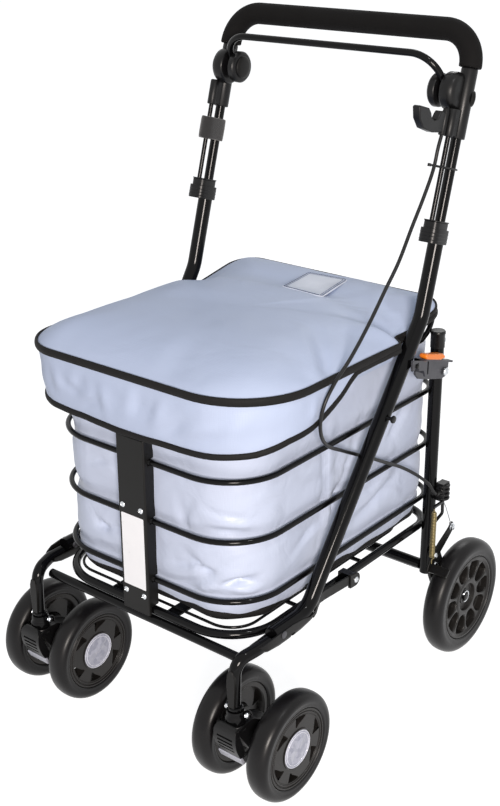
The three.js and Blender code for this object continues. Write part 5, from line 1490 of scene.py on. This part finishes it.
def lidRows(rim, outward):
    # underside, skirt's inner face, skirt's outer face, then the crowned top in towards the middle
    l = lid
    middleX, middleY = l["middle"]

    def drawnIn(share):
        return [(middleX + (p.x - middleX) * share, middleY + (p.y - middleY) * share) for p in rim]

    def under(row):
        behind, lift = l["under"]
        return [Vector((p.x, p.y, topRingAt(p.y + behind) + lift)) for p in row]
    rows = [under([Vector((x, y, 0)) for x, y in drawnIn(share)]) for share in l["underShares"]]
    inner = [p - o * l["wallInset"] for p, o in zip(rim, outward)]
    for p in inner:
        p.x = clamp(p.x, -l["wallHalf"], l["wallHalf"])
    rows.append(under(inner))
    rows.append([Vector((p.x, p.y, skirtAt(p.y) + 1)) for p in inner])
    count = l["skirtRows"]
    rows += [[skirtPlace(p, o, k / count) for p, o in zip(rim, outward)] for k in range(count + 1)]
    for share in l["topShares"]:
        row = []
        for x, y in drawnIn(share):
            edge = min((q.x - x) ** 2 + (q.y - y) ** 2 for q in rim) ** 0.5
            row.append(Vector((x, y, topAt(x, y, edge))))
        rows.append(row)
    return rows


def makeLid():
    rim = lidRim()
    outward = [outwardAt(rim, i) for i in range(len(rim))]
    bm = bmesh.new()
    made = [[bm.verts.new(v) for v in row] for row in lidRows(rim, outward)]
    joinRows(bm, made)
    for row in (made[0], made[-1]):
        hub = bm.verts.new(sum((v.co for v in row), Vector()) / len(rim))
        for i, v in enumerate(row):
            bm.faces.new((v, row[(i + 1) % len(row)], hub))
    pad = finishPiece(bm, "lidPad", lidCloth, None)
    swellLid(pad)
    dressPiece(pad, lidCloth, "lid", ["lid"], smooth=80, levels=1)

    bm = bmesh.new()  # tape round the cushion's edge and along the skirt's foot
    edge = [Vector((p.x, p.y, pipingAt(p.y) + 0.4)) - o * 0.6 for p, o in zip(rim, outward)]
    addTube(bm, edge, lambda s: 2.5 * (1 - 0.4 * easeShare(0.3 - abs(s - 0.5), 0, 0.1)), 14, closed=True,
            squeeze=lid["tape"] / 2.5)
    foot = []
    for p, o in zip(rim, outward):
        wave = 0.8 * noiseAt(p.x * 0.03, p.y * 0.03, 1)
        deep = min(1, (pipingAt(p.y) - skirtAt(p.y)) / 60)
        foot.append(Vector((p.x, p.y, skirtAt(p.y) + 3 + wave)) - o * (skirtInset(p.x, p.y) * deep))
    addTube(bm, foot, 2.2, 12, closed=True, squeeze=1.9)
    finishPiece(bm, "lidPiping", bindingTape, "lid", smooth=70)
    makePatch()
    for name in ("lidPad", "lidPiping", "lidPatch", "patchStitches2", "patchStitches6"):
        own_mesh(bpy.data.objects[name])
    print("lid made")


# the lid's cloth run: frames, pressure and stiffness; then how far a place may move, in mm, and rounds of evening out
swelling = {"frames": 14, "settings": {"quality": 5, "mass": 0.4, "use_pressure": True, "uniform_pressure_force": 1.6,
                                       "vertex_group_mass": "pinned", "tension_stiffness": 30,
                                       "compression_stiffness": 30, "bending_stiffness": 4},
            "most": 4, "rounds": 14, "sideFree": 0.35, "sideFrom": 120, "overSkirt": 12, "pinnedTo": 5}


def looseAt(place):
    # how free the cloth is at a place: the top wholly, the skirt's sides a little, the rest not at all
    x, y, z = (abs(place.x) / mm, place.y / mm, place.z / mm)
    if z > pipingAt(y):
        return clamp((z - pipingAt(y)) / swelling["pinnedTo"])
    return swelling["sideFree"] if z > skirtAt(y) + swelling["overSkirt"] and x > swelling["sideFrom"] else 0


def swellLid(pad):
    # a short cloth run lets the top puff and the skirt relax; the skirt's rim and the underside are pinned
    start = [v.co.copy() for v in pad.data.vertices]
    group = pad.vertex_groups.new(name="pinned")
    for v in pad.data.vertices:
        group.add([v.index], 1 - looseAt(v.co), "REPLACE")
    cloth = pad.modifiers.new("cloth", "CLOTH").settings
    for name, value in swelling["settings"].items():
        setattr(cloth, name, value)
    cloth.effector_weights.gravity = 0
    scene = bpy.context.scene
    for step in range(1, swelling["frames"] + 1):
        scene.frame_set(step)
    bakeModifiers(pad)
    pad.vertex_groups.clear()
    moves = [v.co - rest for v, rest in zip(pad.data.vertices, start)]
    near = [[i] for i in range(len(moves))]
    for edge in pad.data.edges:
        a, b = edge.vertices
        near[a].append(b)
        near[b].append(a)
    for _ in range(swelling["rounds"]):  # evens the swelling out, so that no crease runs in to the middle
        moves = [sum((moves[j] for j in group), Vector()) / len(group) for group in near]
    for v, rest, move in zip(pad.data.vertices, start, moves):
        v.co = rest + move * min(1, swelling["most"] * mm / max(move.length, 1e-9))
    scene.frame_set(1)


def stitchTree():
    # short thread strokes along a path: Spacing between them, Length and Thickness of each
    tree, keys, entry = newTree("stitchRow", {"Spacing": "Float", "Length": "Float", "Thickness": "Float",
                                              "Finish": "Material"})
    curve = addNode(tree, "GeometryNodeMeshToCurve", {"Mesh": entry["Geometry"]})
    points = addNode(tree, "GeometryNodeCurveToPoints", {"Curve": curve.outputs[0], "Length": entry["Spacing"]},
                     mode="LENGTH")
    stroke = addNode(tree, "GeometryNodeMeshCylinder", {"Vertices": 6, "Radius": entry["Thickness"],
                                                        "Depth": entry["Length"]})
    endTree(tree, points.outputs["Points"], stroke.outputs[0], points.outputs["Rotation"], entry["Finish"])
    return tree, keys


def makeStitches(name, points, finish, body, spacing, length, thickness):
    mesh = bpy.data.meshes.new(name)
    mesh.from_pydata([Vector(p) * mm for p in points], [(i, (i + 1) % len(points)) for i in range(len(points))], [])
    row = addObject(name, mesh)
    runTree(row, stitchNodes, {"Spacing": spacing * mm, "Length": length * mm, "Thickness": thickness * mm,
                               "Finish": finish})
    return dressPiece(row, finish, body, smooth=60)


stitchNodes = stitchTree()
# corners in plan: front left, front right, rear right, rear left; a row of stitches is inset, spacing and thickness
patch = {"halfX": 36, "halfY": 42, "corner": 8, "corners": ((-10, 57), (64, 52), (47, 143), (-22, 138)),
         "shares": (1.0, 0.99, 0.9, 0.75, 0.6, 0.45, 0.3, 0.15), "thick": 0.9, "edge": 0.1,
         "stitches": ((2.6, 2.6, 0.45), (6, 2.2, 0.3)), "stitchLift": 1.15, "stitchShare": 0.72}


def surfaceZ(x, y):
    # height of the lid's cloth below a place, found on the finished pad
    pad = bpy.data.objects["lidPad"]
    graph = bpy.context.evaluated_depsgraph_get()
    hit, place, _, _ = pad.evaluated_get(graph).ray_cast(Vector((x * mm, y * mm, 0.8)), Vector((0, 0, -1)))
    return place.z / mm if hit else topAt(x, y, lid["roll"])


def patchLine(inset, share=1.0):
    # the patch's rounded outline, inset mm in and shrunk to share, laid between its four corners
    p = patch
    line = roundedOutline(inset - p["halfX"], p["halfX"] - inset, inset - p["halfY"], p["halfY"] - inset,
                          max(p["corner"] - inset, 1.5))
    placed = []
    for x, y in line:
        u, v = 0.5 + x * share / p["halfX"] / 2, 0.5 + y * share / p["halfY"] / 2
        weights = ((1 - u) * (1 - v), u * (1 - v), u * v, (1 - u) * v)
        placed.append(tuple(sum(w * corner[k] for w, corner in zip(weights, p["corners"])) for k in (0, 1)))
    return placed


def makePatch():
    p = patch
    bpy.context.view_layer.update()
    bm = bmesh.new()
    rows = []
    for share in p["shares"]:
        lift = p["edge"] if share == 1.0 else p["thick"]
        rows.append([bm.verts.new((x, y, surfaceZ(x, y) + lift)) for x, y in patchLine(0, share)])
    joinRows(bm, rows)
    bm.faces.new(rows[-1])
    piece = finishPiece(bm, "lidPatch", patchCloth, None)
    if sum(f.normal.z for f in piece.data.polygons) < 0:
        piece.data.flip_normals()
    dressPiece(piece, patchCloth, "lid", smooth=60)
    for inset, spacing, thickness in p["stitches"]:
        line = [(x, y, surfaceZ(x, y) + p["stitchLift"]) for x, y in patchLine(inset)]
        makeStitches(f"patchStitches{int(inset)}", line, patchThread, "lid", spacing, spacing * p["stitchShare"],
                     thickness)


# light, floor and camera
view = {"place": (1054.2, -1318.0, 1124.7), "azimuth": 39.0, "elevation": 22.66, "roll": -0.31, "lens": 57.95,
        "shift": (-0.0044, -0.0009), "sensor": 36, "clip": (0.05, 60)}
# lamps: azimuth and elevation in degrees, distance and size in metres, power in watts; they look at "aim"
studio = {"fill": 0.31, "fillTone": (0.91, 0.98, 1.08, 1), "floorLift": 0.9, "floorRadius": 14, "floorDrop": 0.0005,
          "aim": (0, 0, 0.45), "lamps": {"keySoftbox": (43, 15, 3.2, 0.9, 103, (1.0, 0.915, 0.85)),
                                         "sideSoftbox": (82, 60, 3.0, 0.24, 10, (1, 1, 1)),
                                         "rimSoftbox": (200, 35, 3.2, 1.0, 10.5, (1, 1, 1))}}


def backdropRays(tree):
    # 1 for the rays that see the backdrop itself: straight, mirrored or through something clear
    rays = addNode(tree, "ShaderNodeLightPath")
    seen = rays.outputs["Is Camera Ray"]
    for kind in ("Is Glossy Ray", "Is Transmission Ray"):
        seen = addNode(tree, "ShaderNodeMath", {0: seen, 1: rays.outputs[kind]}, operation="MAXIMUM").outputs[0]
    return seen


def wayFrom(azimuth, elevation):
    # unit vector from the middle out to an azimuth and elevation in degrees; azimuth 0 is in front
    az, el = math.radians(azimuth), math.radians(elevation)
    return Vector((math.sin(az) * math.cos(el), -math.cos(az) * math.cos(el), math.sin(el)))


def makeStudio():
    world = bpy.data.worlds.new("studio")
    bpy.context.scene.world = world
    world.use_nodes = True
    tree = world.node_tree
    seen = backdropRays(tree)
    level = addNode(tree, "ShaderNodeMapRange", {"Value": seen, "To Min": studio["fill"], "To Max": 1.0})
    tone = addNode(tree, "ShaderNodeMix", {0: seen, 6: studio["fillTone"], 7: (1, 1, 1, 1)}, data_type="RGBA")
    tree.links.new(tone.outputs[2], tree.nodes["Background"].inputs["Color"])
    tree.links.new(level.outputs[0], tree.nodes["Background"].inputs["Strength"])
    makeFloor()
    aim = Vector(studio["aim"])
    for name, (azimuth, elevation, far, size, power, tone) in studio["lamps"].items():
        lamp = bpy.data.lights.new(name, "AREA")
        lamp.shape = "DISK"
        lamp.size = size
        lamp.energy = power
        lamp.color = tone
        holder = addObject(name, lamp)
        out = wayFrom(azimuth, elevation)
        holder.location = aim + out * far
        holder.rotation_euler = (-out).to_track_quat("-Z", "Y").to_euler()
    makeCamera()
    print("studio ready")


def makeFloor():
    paint = bpy.data.materials.new("paleStudioFloor")
    paint.use_nodes = True
    ground = paint.node_tree
    shader = ground.nodes["Principled BSDF"]
    for socket, value in {"Base Color": linear("#aaaaab"), "Roughness": 0.9, "Specular IOR Level": 0.05}.items():
        shader.inputs[socket].default_value = value
    lift = addNode(ground, "ShaderNodeMath", {0: backdropRays(ground), 1: studio["floorLift"]}, operation="MULTIPLY")
    glow = addNode(ground, "ShaderNodeEmission", {"Color": (1, 1, 1, 1), "Strength": lift.outputs[0]})
    both = addNode(ground, "ShaderNodeAddShader", {0: shader.outputs[0], 1: glow.outputs[0]})
    ground.links.new(both.outputs[0], ground.nodes["Material Output"].inputs["Surface"])
    bm = bmesh.new()
    bmesh.ops.create_circle(bm, cap_ends=True, segments=64, radius=studio["floorRadius"])
    mesh = bpy.data.meshes.new("floor")
    bm.to_mesh(mesh)
    bm.free()
    floor = addObject("floor", mesh)
    floor.location.z = -studio["floorDrop"]
    mesh.materials.append(paint)


def makeCamera():
    camera = bpy.data.cameras.new("camera")
    camera.lens = view["lens"]
    camera.sensor_width = view["sensor"]
    camera.shift_x, camera.shift_y = view["shift"]
    camera.clip_start, camera.clip_end = view["clip"]
    back = wayFrom(view["azimuth"], view["elevation"])
    roll = math.radians(view["roll"])
    right = (-back).cross(Vector((0, 0, 1))).normalized()
    above = back.cross(right)
    x = right * math.cos(roll) + above * math.sin(roll)
    y = above * math.cos(roll) - right * math.sin(roll)
    holder = addObject("camera", camera)
    holder.matrix_world = Matrix.Translation(Vector(view["place"]) * mm) @ Matrix((x, y, back)).transposed().to_4x4()
    bpy.context.scene.camera = holder
    bpy.context.scene.view_settings.view_transform = "Standard"


makeStudio()
makeBasket()
makeFrontPlate()
makeCasters()
makeFrontFrame()
makeRearFrame()
for word, side in sides.items():
    makeRearWheel(word, side)
    makeLatch(word, side)
makeHandle()
makeCables()
makeBag()
makeLid()
